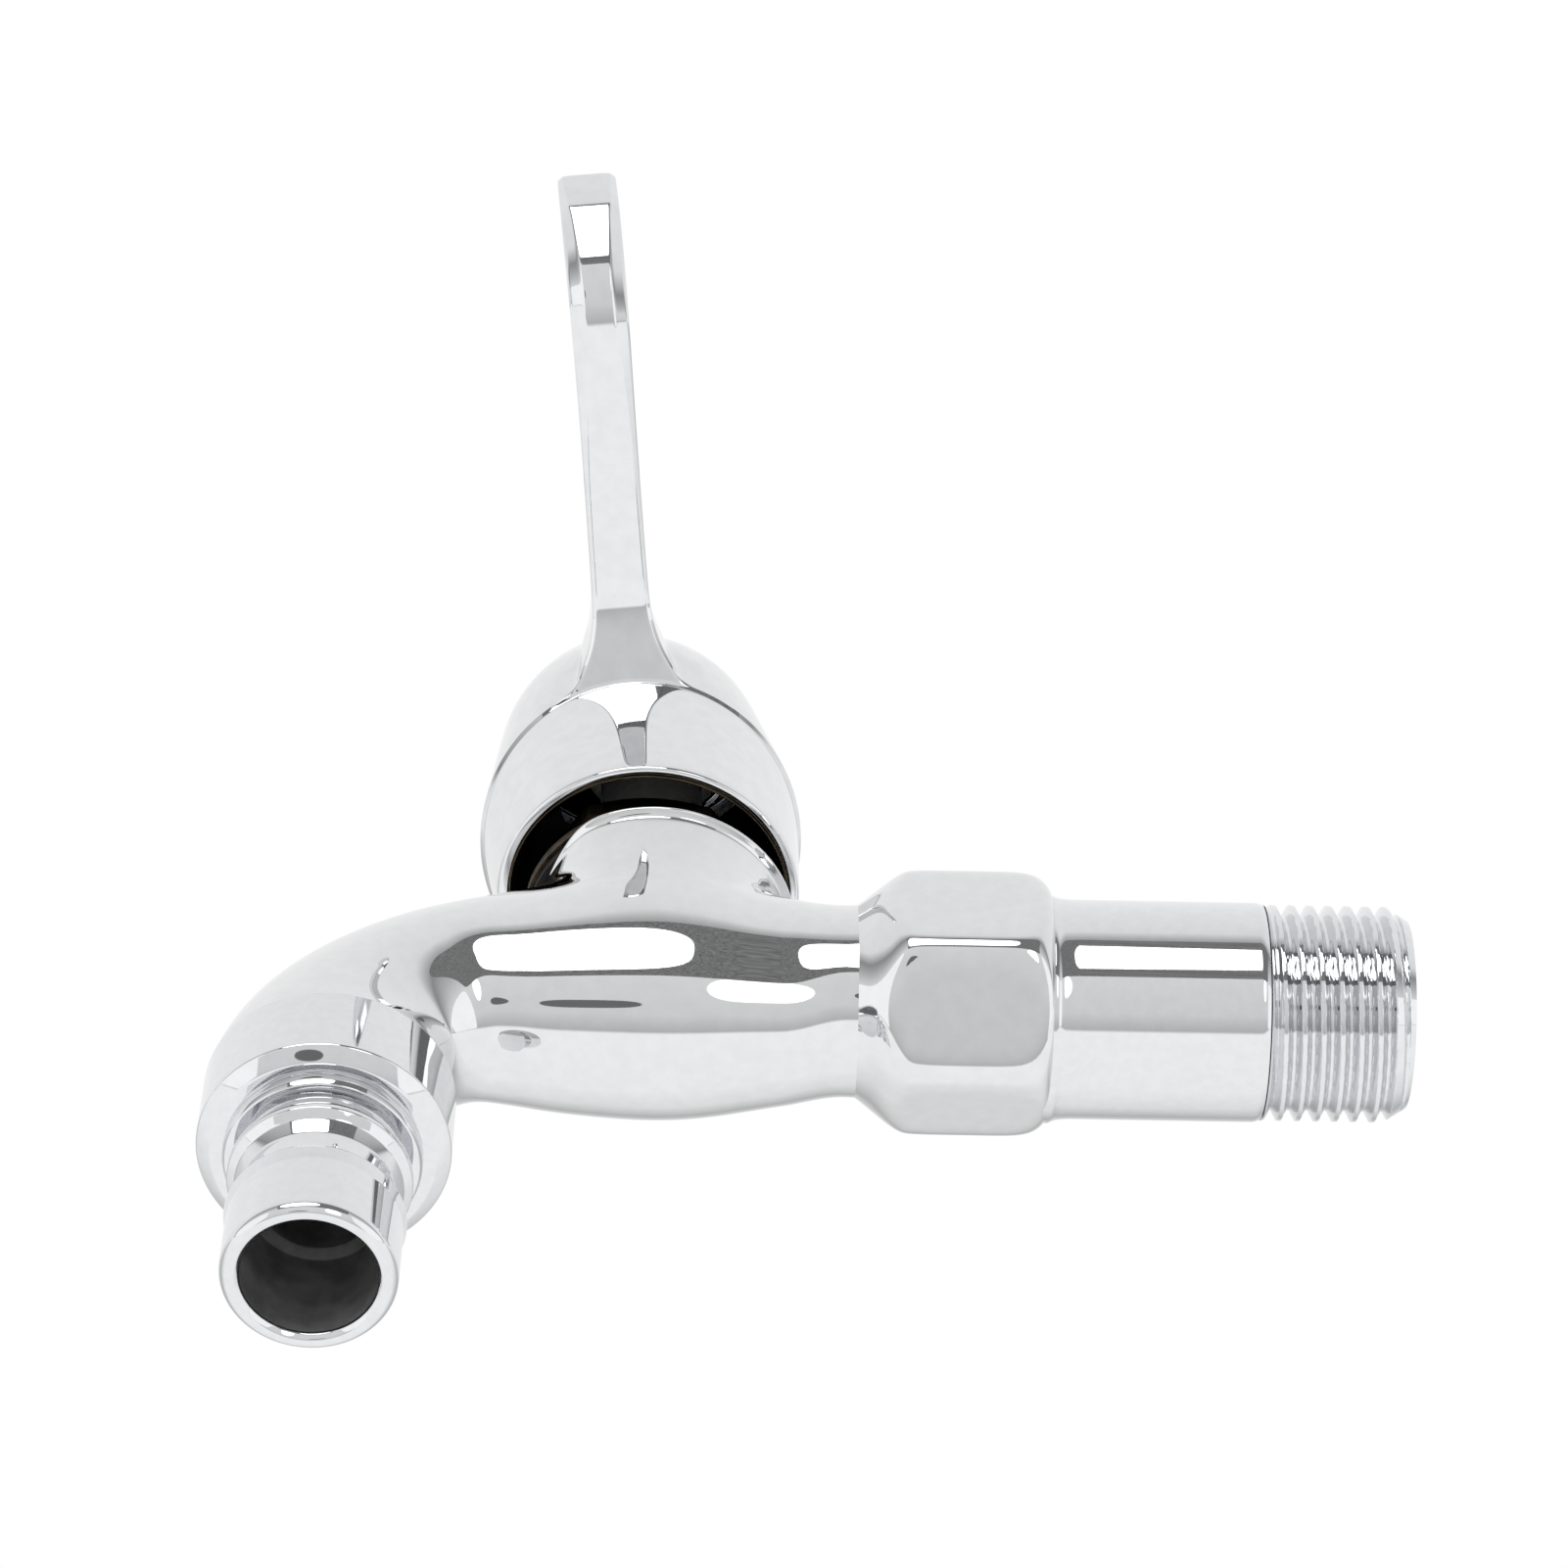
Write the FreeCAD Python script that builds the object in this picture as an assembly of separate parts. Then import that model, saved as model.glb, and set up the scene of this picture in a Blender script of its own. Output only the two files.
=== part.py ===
import FreeCAD, Part
import math
import os

V = FreeCAD.Vector

# Half-inch wall tap with a lever handle and a quick-connect hose nipple, in millimetres.
# The origin is on the inlet axis, at the shoulder where the male thread starts.
# +X points into the wall, +Z runs up the valve spindle and the lever points towards -Y.

# Fits between pieces
slip_gap = 0.05          # radial gap of turned fits and running fits
seat_gap = 0.03          # axial gap under pieces that turn on each other
stop_gap = 0.3           # radial gap between the stop ring and the lug beside it
past = 1.0               # how far a cut or a joint runs past the face it meets

# Inlet: thread, relief groove and plain tail
thread_radius = 20.955 / 2
thread_end_x = 13.8
thread_end_chamfer = 2.0
relief_width = 1.2
relief_depth = 0.9
tail_radius = 10.65
tail_edge = 0.3
inlet_bore_radius = 7.25

# Spanner hexagon behind the tail
hex_flats = 22.3
hex_near_x = -20.8
hex_far_x = -39.0
hex_near_bevel = 2.0
hex_far_slope = 4.0

# The cast form sits a little off the turned axis
cast_offset = V(0, -0.35, 0.2)

# Barrel: waist, belly under the valve and start of the spout
hex_face_radius = 9.7
waist_x = -41.2
waist_radius = 9.15
belly_x = -59.0
belly_radius = 11.6
hex_root_radius = 9.6
hex_root_run = V(-6, 0, -1)
waist_run = V(-9, 0, 0)
belly_run = V(-15, 0, 0)
spout_start_x = -73.3
spout_start_radius = 9.9
spout_start_run = V(-9, 0, -1.2)

# Valve axis and the neck that takes the headwork
valve_x = -60.0
neck_inset = 0.5
neck_side = 0.7
neck_wall_radius = 13.3
neck_rim_radius = 14.0
neck_rim_height = 0.25
neck_rim_flare = 0.5
neck_rise = 1.85
neck_fillet = 6.0

# Spout elbow and the turned collar at its end
outlet_x = -89.3
collar_step = 0.5
elbow_steps = 3
elbow_back_step = 0.1
elbow_start_run = 7.0
elbow_end_run = 9.65
elbow_waist_radius = 8.76
collar_radius = 11.9
collar_top_z = -17.0
collar_face_z = -26.8
collar_bevel_height = 1.1
collar_bevel_width = 1.45
collar_wall = 3.62
socket_depth = 9.8
socket_mouth = 0.5

# Waterway cored in the casting
seat_z = 1.0
seat_floor = 2.0
port_radius = 4.5
underpass_radius = 4.25
underpass_start_x = -42.5
chamber_ledge = 1.0
neck_wall = 1.1
headwork_thread_z = 7.5
outlet_way_radius = 5.0
outlet_way_z = 1.0
bore_mitre = 2.0

# Hose nipple
nipple_end_z = -46.0
nipple_radius = 8.1
nipple_bore_radius = 6.26
nipple_throat_z = -34.5
nipple_end_round = 0.6
nipple_mouth = 0.5
nipple_land_z = -38.3
shoulder_radius = 8.4
shoulder_z = -36.9
groove_radius = 7.1
groove_low_z = -35.3
groove_high_z = -33.0
ring_under_radius = 7.8
ring_under_z = -31.75
ring_radius = 8.6
ring_low_z = -31.1
ring_high_z = -30.2
nipple_neck_radius = 7.6
nipple_flange_radius = 9.3
nipple_flange_height = 0.8
nipple_flange_bevel = 0.5
nipple_flange_slope = 0.3
throat_slope = 0.8
gasket_thickness = 1.5
gasket_width = 2.88

# Quarter-turn ceramic headwork
seal_stand_off = 0.9
seal_height = 2.4
seal_wall = 1.6
seal_ring_wall = 0.7
seal_ring_lift = 0.4
disc_play = 0.2
disc_height = 3.0
disc_hub_radius = 1.6
disc_port_rim = 1.4
disc_port_angle = 76.0
cage_play = 0.8
cage_wall = 1.2
cage_window_angle = 84.0
cage_window_height = 2.8
cage_height_in_chamber = 2.4
foot_height = 3.0
foot_play = 0.2
dog_width = 4.0
dog_height = 1.1
dog_inset = 1.0
slip_ring_height = 0.6
shaft_radius = 4.0
headwork_gasket_height = 1.0
headwork_gasket_edge = 0.4
flange_overhang = 1.2
flange_height = 1.2
headwork_flats = 21.0
headwork_hex_height = 5.0
boss_radius = 7.8
boss_height = 2.0
stop_lug_height = 1.9
stop_lug_angle = 60.0
stop_lug_middle = 90.0
stop_inner_radius = 5.3
stop_margin_angle = 2.0
ring_seal_section = 1.5
ring_seal_low_z = 15.0
ring_seal_high_z = 19.0
clip_height = 0.9
clip_radius = 5.6
clip_groove_radius = 3.2
clip_opening_angle = 70.0
clip_opening_middle = 270.0
clip_shoulder = 0.4
shaft_flats = 6.8
spline_radius = 3.8
spline_root_radius = 3.3
spline_teeth = 18
spline_lead = 0.4
spline_top_z = 39.0

# Handle: skirt, dome, lever and the parts inside it
turn_at_rest = -4.0
turn_travel = 90.0
lip_z = 18.8
lip_radius = 15.25
lip_wall = 1.7
skirt_inset = 0.25
skirt_hollow_z = 20.4
hollow_top_radius = 9.5
hollow_top_z = 39.6
form_lean = 4.8
ridge_radius = 16.45
ridge_z = 29.8
ridge_tilt = 27.0
dome_forward = 8.0
dome_reach = 11.6
dome_radius = 14.0
dome_side_lean = 9.7
dome_top_z = 48.5
hub_radius = 6.6
hub_bottom_z = 27.0
bush_radius = 5.2
bush_bottom_z = 27.3
web_thickness = 2.2
cap_radius = 7.5
cap_clearance = 0.8
cap_height = 3.0
cap_bevel = 0.6
screw_thread_radius = 2.0
screw_clearance_radius = 2.25
screw_head_radius = 3.8
screw_head_height = 2.6
screw_length = 12.0
screw_socket_flats = 3.0
screw_pocket_radius = 4.7
washer_radius = 4.4
washer_thickness = 0.8
lever_half_width = 2.8
lever_flare_y = -23.0
lever_flare_end_y = -13.5
lever_flare_radius = 15.5
lever_top_flare = 0.5
lever_sections = 12
lever_section_spread = 1.2
lever_top_bevel = 0.9
lever_root_bevel = 0.35
lever_tip_bevel = 1.2

# Side view of the lever: points on its underside and its top, with the way each one is passed
lever_under = [
    V(valve_x, -11, 36.6),
    V(valve_x, -24, 38.6),
    V(valve_x, -50, 42.2),
    V(valve_x, -57.2, 46.8),
    V(valve_x, -61.9, 57.4),
]
lever_under_runs = [V(0, -9, 1), V(0, -14, 1.7), V(0, -11, 3.8), V(0, -5, 6), V(0, -1.6, 8)]
lever_top = [
    V(valve_x, -11, 47.6),
    V(valve_x, -24, 46),
    V(valve_x, -47.5, 47.2),
    V(valve_x, -53.2, 50),
    V(valve_x, -57.8, 58.4),
]
lever_top_runs = [V(0, -8, -1.6), V(0, -14, 0), V(0, -9, 2.6), V(0, -4.4, 4.6), V(0, -1.2, 6)]

origin = V(0, 0, 0)
x_axis = V(1, 0, 0)
y_axis = V(0, 1, 0)
z_axis = V(0, 0, 1)
valve_axis = V(valve_x, 0, 0)
neck_axis = V(valve_x + neck_side, 0, 0)
outlet_axis = V(outlet_x, 0, 0)

# Radii that follow from the barrel, the collar and the walls inside them
neck_radius = belly_radius - neck_inset
neck_top_z = belly_radius + neck_rise
headwork_thread_radius = neck_radius - neck_wall
chamber_radius = headwork_thread_radius - chamber_ledge
cage_radius = chamber_radius - cage_play
cage_bore_radius = cage_radius - cage_wall
disc_radius = cage_bore_radius - disc_play
disc_port_radius = disc_radius - disc_port_rim
seal_radius = disc_radius
foot_radius = disc_radius - foot_play
flange_radius = neck_radius + flange_overhang
elbow_end_radius = collar_radius - collar_step
socket_radius = collar_radius - collar_wall
nipple_throat_radius = socket_radius - gasket_width

# Heights that follow from the stack above the seat
seal_bottom_z = seat_z
cage_bottom_z = seat_z + seal_stand_off
fixed_disc_z = seal_bottom_z + seal_height
moving_disc_z = fixed_disc_z + disc_height + seat_gap
foot_z = moving_disc_z + disc_height
slip_ring_z = foot_z + foot_height + seat_gap
cage_roof_z = slip_ring_z + slip_ring_height
gasket_z = neck_top_z
flange_z = gasket_z + headwork_gasket_height
headwork_hex_z = flange_z + flange_height
boss_z = headwork_hex_z + headwork_hex_height
stop_z = boss_z + boss_height
clip_z = stop_z + stop_lug_height + seat_gap
shaft_top_z = clip_z + clip_height + clip_shoulder
web_z = spline_top_z + spline_lead
web_top_z = web_z + web_thickness
cap_z = web_top_z + washer_thickness + screw_head_height + cap_clearance
cap_top_z = cap_z + cap_height
socket_top_z = collar_face_z + socket_depth
nipple_top_z = socket_top_z - gasket_thickness
nipple_flange_z = collar_face_z - nipple_flange_height


def tube(radius, low_z, high_z, inner=0.0, centre=valve_axis):
    """A round bar, or a ring, standing on the valve axis or on another upright axis."""
    base = V(centre.x, centre.y, low_z)
    bar = Part.makeCylinder(radius, high_z - low_z, base, z_axis)
    if inner:
        bar = bar.cut(Part.makeCylinder(inner, high_z - low_z, base, z_axis))
    return bar


def turned(points, centre=valve_axis):
    """A solid turned about an upright axis from an outline of (radius, height) points."""
    outline = [V(centre.x + radius, centre.y, height) for radius, height in points]
    face = Part.Face(Part.makePolygon(outline + outline[:1]))
    return face.revolve(centre, z_axis, 360)


def turned_on_x(points):
    """A solid turned about the inlet axis from an outline of (x, radius) points."""
    outline = [V(x, 0, radius) for x, radius in points]
    face = Part.Face(Part.makePolygon(outline + outline[:1]))
    return face.revolve(origin, x_axis, 360)


def sector(inner, outer, low_z, high_z, middle, width):
    """A ring sector about the valve axis; middle and width are angles in degrees."""
    start = math.radians(middle - width / 2)
    centre = math.radians(middle)
    end = math.radians(middle + width / 2)

    def at(radius, angle):
        return V(valve_x + radius * math.cos(angle), radius * math.sin(angle), low_z)

    outside = Part.Arc(at(outer, start), at(outer, centre), at(outer, end)).toShape()
    inside = Part.Arc(at(inner, end), at(inner, centre), at(inner, start)).toShape()
    side_out = Part.makeLine(at(outer, end), at(inner, end))
    side_in = Part.makeLine(at(inner, start), at(outer, start))
    face = Part.Face(Part.Wire([outside, side_out, inside, side_in]))
    return face.extrude(V(0, 0, high_z - low_z))


def hexagon(flats, base, direction, length):
    """A hexagonal bar with one corner towards +Z, or towards +X on an upright bar."""
    corner = flats / math.sqrt(3)
    first = z_axis if abs(direction.z) < 0.5 else x_axis
    second = direction.cross(first)
    points = []
    for step in range(7):
        angle = math.radians(60 * step)
        points.append(base + first * (corner * math.cos(angle)) + second * (corner * math.sin(angle)))
    return Part.Face(Part.makePolygon(points)).extrude(direction * length)


def spline_curve(points, directions):
    """A smooth curve through points, running along the given direction at each of them."""
    curve = Part.BSplineCurve()
    curve.interpolate(Points=points, Tangents=directions, TangentFlags=[True] * len(points))
    return curve


def barrel():
    """Turned barrel, narrow behind the hexagon and at the spout, with a belly between."""
    root = V(hex_far_x + hex_far_slope, 0, hex_root_radius)
    waist = V(waist_x, 0, waist_radius)
    belly = V(belly_x, 0, belly_radius)
    end = V(spout_start_x, 0, spout_start_radius)
    crest = spline_curve([root, waist, belly, end], [hex_root_run, waist_run, belly_run, spout_start_run])
    outline = Part.Wire([
        crest.toShape(),
        Part.makeLine(end, V(end.x, 0, 0)),
        Part.makeLine(V(end.x, 0, 0), V(root.x, 0, 0)),
        Part.makeLine(V(root.x, 0, 0), root),
    ])
    turned_form = Part.Face(outline).revolve(origin, x_axis, 360)
    turned_form.translate(cast_offset)
    return turned_form


def neck():
    """Upright neck that widens to a small flared rim, where the headwork screws in."""
    rim_low_z = neck_top_z - neck_rim_height
    return turned([
        (0, 0),
        (neck_radius, 0),
        (neck_wall_radius, rim_low_z - neck_rim_flare),
        (neck_rim_radius, rim_low_z),
        (neck_rim_radius, neck_top_z),
        (0, neck_top_z),
    ], neck_axis)


def barrel_with_neck():
    """Barrel and neck, blended by a fillet along the curve where they meet."""
    joined = barrel().fuse(neck())
    blend = []
    for edge in joined.Edges:
        box = edge.BoundBox
        across = box.YLength > neck_radius / 2
        on_saddle = box.ZMin > -1 and box.ZMax < belly_radius
        if across and on_saddle:
            blend.append(edge)
    return joined.makeFillet(neck_fillet, blend)


def elbow_line():
    """Centre line of the spout, from the end of the barrel down to the collar."""
    back = collar_radius - elbow_end_radius - elbow_back_step
    start = V(spout_start_x, 0, 0) + cast_offset
    end = V(outlet_x - back, 0, collar_top_z)
    line = Part.BezierCurve()
    line.setPoles([start, start - x_axis * elbow_start_run, end + z_axis * elbow_end_run, end])
    return line


def elbow():
    """Spout elbow, lofted through circles that narrow a little before they reach the collar."""
    line = elbow_line()
    sections = []
    for step in range(elbow_steps + 1):
        share = step / elbow_steps
        along = V(line.tangent(share)[0])
        radius = (1 - share) ** 2 * spout_start_radius
        radius += 2 * share * (1 - share) * elbow_waist_radius
        radius += share ** 2 * elbow_end_radius
        sections.append(Part.Wire([Part.Circle(line.value(share), along, radius).toShape()]))
    bent = Part.makeLoft(sections, True)
    end = line.value(1)
    return bent.fuse(tube(elbow_end_radius, end.z - past, end.z, centre=end))


def collar():
    """Turned collar at the end of the spout, with a broad bevel round its face."""
    return turned([
        (0, collar_top_z),
        (collar_radius, collar_top_z),
        (collar_radius, collar_face_z + collar_bevel_height),
        (collar_radius - collar_bevel_width, collar_face_z),
        (0, collar_face_z),
    ], outlet_axis)


def spanner_hexagon():
    """Hexagon whose corners are turned off at a long slope behind and a short bevel in front."""
    corner = hex_flats / math.sqrt(3)
    bar = hexagon(hex_flats, V(hex_far_x, 0, 0), x_axis, hex_near_x - hex_far_x)
    slope_end = hex_far_x + hex_far_slope
    envelope = turned_on_x([
        (hex_far_x, 0),
        (hex_far_x, hex_face_radius),
        (slope_end, corner),
        (hex_near_x - hex_near_bevel, corner),
        (hex_near_x, corner - hex_near_bevel),
        (hex_near_x, 0),
    ])
    cast_bar = bar.common(envelope)
    cast_bar.translate(cast_offset)
    return cast_bar


def inlet_tail():
    """Plain tail, relief groove and the crest cylinder of the male thread."""
    return turned_on_x([
        (hex_near_x - past, 0),
        (hex_near_x - past, tail_radius),
        (-tail_edge, tail_radius),
        (0, tail_radius - tail_edge),
        (0, thread_radius - relief_depth),
        (relief_width, thread_radius - relief_depth),
        (relief_width, thread_radius),
        (thread_end_x - thread_end_chamfer, thread_radius),
        (thread_end_x, thread_radius - thread_end_chamfer),
        (thread_end_x, 0),
    ])


def bores_along(points, radius):
    """Straight bores from point to point, each run on past its knees so that they mitre."""
    bores = []
    for low, high in zip(points, points[1:]):
        along = (high - low).normalize()
        start = low - along * bore_mitre
        length = (high - low).Length + 2 * bore_mitre
        bores.append(Part.makeCylinder(radius, length, start, along))
    return bores


def inlet_way():
    """Water passage from the inlet, down under the seat and up through its port."""
    straight = Part.makeCylinder(
        inlet_bore_radius, thread_end_x - underpass_start_x, V(underpass_start_x, 0, 0), x_axis)
    start = V(underpass_start_x + past, 0, underpass_radius + past - inlet_bore_radius)
    knee = V(valve_x + chamber_radius, 0, seat_z - seat_floor - underpass_radius)
    end = V(valve_x, 0, knee.z)
    port = tube(port_radius, knee.z, seat_z + past)
    return straight.fuse(bores_along([start, knee, end], underpass_radius) + [port])


def outlet_way():
    """Water passage from the valve chamber along the spout to the nipple socket."""
    start = V(valve_x - chamber_radius + past - bore_mitre, 0, outlet_way_z)
    line = elbow_line()
    first_knee = line.value(1 / 3)
    last_knee = line.value(2 / 3)
    end = V(outlet_x, 0, socket_top_z)
    socket = turned([
        (0, socket_top_z),
        (socket_radius, socket_top_z),
        (socket_radius, collar_face_z + socket_mouth),
        (socket_radius + socket_mouth, collar_face_z),
        (0, collar_face_z),
    ], outlet_axis)
    return socket.fuse(bores_along([start, first_knee, last_knee, end], outlet_way_radius))


def tap_body():
    """One brass casting: tail, hexagon, barrel, neck, spout and collar, with its waterway."""
    casting = barrel_with_neck().fuse([elbow(), collar(), spanner_hexagon(), inlet_tail()])
    chamber = tube(chamber_radius, seat_z, headwork_thread_z)
    neck_thread = tube(headwork_thread_radius, headwork_thread_z, neck_top_z)
    return casting.cut([chamber.fuse(neck_thread), inlet_way(), outlet_way()])


def hose_nipple():
    """Turned nipple: thread, flange, locking ring, ball groove and smooth sealing land."""
    thread = socket_radius - slip_gap
    flange_low_z = nipple_flange_z - nipple_flange_bevel
    outside = [
        (thread, nipple_top_z),
        (thread, collar_face_z - seat_gap),
        (nipple_flange_radius, collar_face_z - seat_gap),
        (nipple_flange_radius, nipple_flange_z),
        (nipple_flange_radius - nipple_flange_slope, flange_low_z),
        (nipple_neck_radius, flange_low_z),
        (nipple_neck_radius, ring_high_z),
        (ring_radius, ring_high_z),
        (ring_radius, ring_low_z),
        (ring_under_radius, ring_under_z),
        (groove_radius, groove_high_z),
        (groove_radius, groove_low_z),
        (shoulder_radius, shoulder_z),
        (nipple_radius, nipple_land_z),
        (nipple_radius, nipple_end_z + nipple_end_round),
        (nipple_radius - nipple_end_round, nipple_end_z),
        (nipple_bore_radius + nipple_mouth, nipple_end_z),
    ]
    inside = [
        (nipple_bore_radius, nipple_end_z + nipple_mouth),
        (nipple_bore_radius, nipple_throat_z),
        (nipple_throat_radius, nipple_throat_z + throat_slope),
        (nipple_throat_radius, nipple_top_z),
    ]
    return turned(outside + inside, outlet_axis)


def nipple_gasket():
    """Flat rubber ring between the nipple and the floor of its socket."""
    return tube(socket_radius - 2 * slip_gap, nipple_top_z, socket_top_z, nipple_throat_radius, outlet_axis)


def headwork_body():
    """Headwork: windowed cage, thread, flange, hexagon and the lug that stops the turn."""
    thread = headwork_thread_radius - slip_gap
    thread_low_z = cage_roof_z - cage_height_in_chamber
    shell = turned([
        (cage_bore_radius, cage_bottom_z),
        (cage_radius, cage_bottom_z),
        (cage_radius, thread_low_z),
        (thread, thread_low_z),
        (thread, flange_z),
        (flange_radius, flange_z),
        (flange_radius, headwork_hex_z),
        (boss_radius, headwork_hex_z),
        (boss_radius, stop_z),
        (shaft_radius + slip_gap, stop_z),
        (shaft_radius + slip_gap, cage_roof_z),
        (cage_bore_radius, cage_roof_z),
    ])
    hex_bar = hexagon(headwork_flats, V(valve_x, 0, headwork_hex_z), z_axis, headwork_hex_height)
    hex_corner = headwork_flats / math.sqrt(3)
    hex_edge = hex_corner - headwork_flats / 2
    rounder = turned([
        (shaft_radius + slip_gap, headwork_hex_z),
        (hex_corner, headwork_hex_z),
        (hex_corner, boss_z - hex_edge),
        (hex_corner - hex_edge, boss_z),
        (shaft_radius + slip_gap, boss_z),
    ])
    lug_top_z = stop_z + stop_lug_height
    lug = sector(stop_inner_radius, boss_radius, stop_z, lug_top_z, stop_lug_middle, stop_lug_angle)
    windows = []
    for middle in (0, 180):
        low_z = moving_disc_z
        high_z = moving_disc_z + cage_window_height
        windows.append(sector(
            cage_bore_radius - past, cage_radius + past, low_z, high_z, middle, cage_window_angle))
    return shell.fuse([hex_bar.common(rounder), lug]).cut(windows)


def headwork_gasket():
    """Fibre ring between the rim of the neck and the headwork flange."""
    outer = flange_radius - headwork_gasket_edge
    return tube(outer, gasket_z, flange_z, headwork_thread_radius + slip_gap)


def seat_seal():
    """Rubber ring that seals the lower disc to the seat of the casting."""
    return tube(seal_radius, seal_bottom_z, fixed_disc_z, seal_radius - seal_wall)


def seat_seal_ring():
    """Stiff ring inside the rubber seal that keeps it round."""
    outer = seal_radius - seal_wall - slip_gap
    return tube(outer, seal_bottom_z + seal_ring_lift, fixed_disc_z, outer - seal_ring_wall)


def ported_disc(low_z, turn):
    """Ceramic disc with two opposite sector ports."""
    disc = tube(disc_radius, low_z, low_z + disc_height)
    ports = []
    for middle in (turn, turn + 180):
        low = low_z - past
        high = low_z + disc_height + past
        ports.append(sector(disc_hub_radius, disc_port_radius, low, high, middle, disc_port_angle))
    return disc.cut(ports)


def fixed_disc():
    """Lower ceramic disc, held still in the cage."""
    return ported_disc(fixed_disc_z, 0)


def dog(low_z, high_z, gap):
    """Square-ended driving tongue across the valve axis."""
    half = dog_width / 2 + gap
    reach = foot_radius - dog_inset + gap
    return Part.makeBox(2 * half, 2 * reach, high_z - low_z, V(valve_x - half, -reach, low_z))


def with_handle(shape):
    """Turns a piece about the valve axis, from the open direction to where the lever rests."""
    shape.rotate(valve_axis, z_axis, turn_at_rest)
    return shape


def moving_disc():
    """Upper ceramic disc, open at two sides and turned by the tongue of the spindle."""
    disc = tube(disc_radius, moving_disc_z, foot_z)
    notches = []
    for middle in (0, 180):
        notches.append(sector(
            disc_hub_radius, disc_radius + past, moving_disc_z - past, foot_z + past, middle, disc_port_angle))
    slot = dog(foot_z - dog_height - slip_gap, foot_z + past, slip_gap)
    return with_handle(disc.cut(notches + [slot]))


def flats_block(low_z, high_z, gap):
    """Slab across the valve axis that leaves the two flats of the spindle."""
    wide = shaft_radius + past
    half = shaft_flats / 2 + gap
    return Part.makeBox(2 * wide, 2 * half, high_z - low_z, V(valve_x - wide, -half, low_z))


def spline_bar(tip, root, low_z, high_z):
    """Fine-toothed bar whose teeth run along the valve axis."""
    points = []
    for step in range(2 * spline_teeth):
        angle = math.pi * step / spline_teeth
        radius = tip if step % 2 else root
        points.append(V(valve_x + radius * math.cos(angle), radius * math.sin(angle), low_z))
    points.append(points[0])
    return Part.Face(Part.makePolygon(points)).extrude(V(0, 0, high_z - low_z))


def spindle():
    """Spindle: driving foot, shaft with two seal grooves, flats, clip groove and spline."""
    groove_floor = shaft_radius + slip_gap - ring_seal_section
    foot_top_z = foot_z + foot_height
    points = [(0, foot_z), (foot_radius, foot_z), (foot_radius, foot_top_z), (shaft_radius, foot_top_z)]
    for low_z in (ring_seal_low_z, ring_seal_high_z):
        high_z = low_z + ring_seal_section + 2 * slip_gap
        points += [(shaft_radius, low_z), (groove_floor, low_z)]
        points += [(groove_floor, high_z), (shaft_radius, high_z)]
    points += [
        (shaft_radius, clip_z - slip_gap),
        (clip_groove_radius, clip_z - slip_gap),
        (clip_groove_radius, clip_z + clip_height + slip_gap),
        (shaft_radius, clip_z + clip_height + slip_gap),
        (shaft_radius, shaft_top_z),
        (spline_root_radius, shaft_top_z),
        (spline_root_radius, spline_top_z),
        (0, spline_top_z),
    ]
    bar = turned(points)
    flats_z = stop_z - slip_gap
    upper = tube(shaft_radius + past, flats_z, shaft_top_z)
    bar = bar.cut(upper.cut(flats_block(flats_z, shaft_top_z, 0)))
    tongue = dog(foot_z - dog_height, foot_z, 0)
    teeth = spline_bar(spline_radius, spline_root_radius, shaft_top_z, spline_top_z - spline_lead)
    hole = tube(screw_thread_radius, spline_top_z - screw_length, spline_top_z + past)
    return with_handle(bar.fuse([tongue, teeth]).cut(hole))


def spindle_seal(low_z):
    """Rubber ring in a groove of the spindle, with broad bevels on its square section."""
    bevel = ring_seal_section / 4
    inner = shaft_radius + slip_gap - ring_seal_section
    outer = shaft_radius
    bottom = low_z + slip_gap
    top = bottom + ring_seal_section
    return turned([
        (inner, bottom),
        (outer - bevel, bottom),
        (outer, bottom + bevel),
        (outer, top - bevel),
        (outer - bevel, top),
        (inner, top),
    ])


def slip_ring():
    """Thin low-friction ring between the spindle foot and the roof of the cage."""
    return tube(foot_radius, slip_ring_z, cage_roof_z - seat_gap, shaft_radius + slip_gap)


def stop_ring():
    """Ring on the spindle flats whose arm meets the headwork lug at both ends of the turn."""
    arm_angle = 360 - stop_lug_angle - turn_travel - 2 * stop_margin_angle
    arm_middle = stop_lug_middle + 180 + turn_travel / 2
    low_z = stop_z + seat_gap
    high_z = stop_z + stop_lug_height
    hub = tube(stop_inner_radius - stop_gap, low_z, high_z)
    arm = sector(clip_groove_radius, boss_radius, low_z, high_z, arm_middle, arm_angle)
    hole = tube(shaft_radius + slip_gap, low_z, high_z).common(flats_block(low_z, high_z, slip_gap))
    return with_handle(hub.fuse(arm).cut(hole))


def spindle_clip():
    """Open spring clip in the spindle groove, above the stop ring."""
    ring = tube(clip_radius, clip_z, clip_z + clip_height, clip_groove_radius + slip_gap)
    low_z = clip_z - past
    high_z = clip_z + clip_height + past
    mouth = sector(past, clip_radius + past, low_z, high_z, clip_opening_middle, clip_opening_angle)
    return with_handle(ring.cut(mouth))


def leaned(shape):
    """Leans the cast upper form of the handle sideways about the middle of its lip."""
    shape.rotate(V(valve_x, 0, lip_z), y_axis, -form_lean)
    return shape


def ridge_circle(radius):
    """The leaning circle where skirt and dome meet."""
    tilt = math.radians(ridge_tilt)
    facing = V(0, math.sin(tilt), math.cos(tilt))
    return Part.Wire([Part.Circle(V(valve_x, 0, ridge_z), facing, radius).toShape()])


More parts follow.
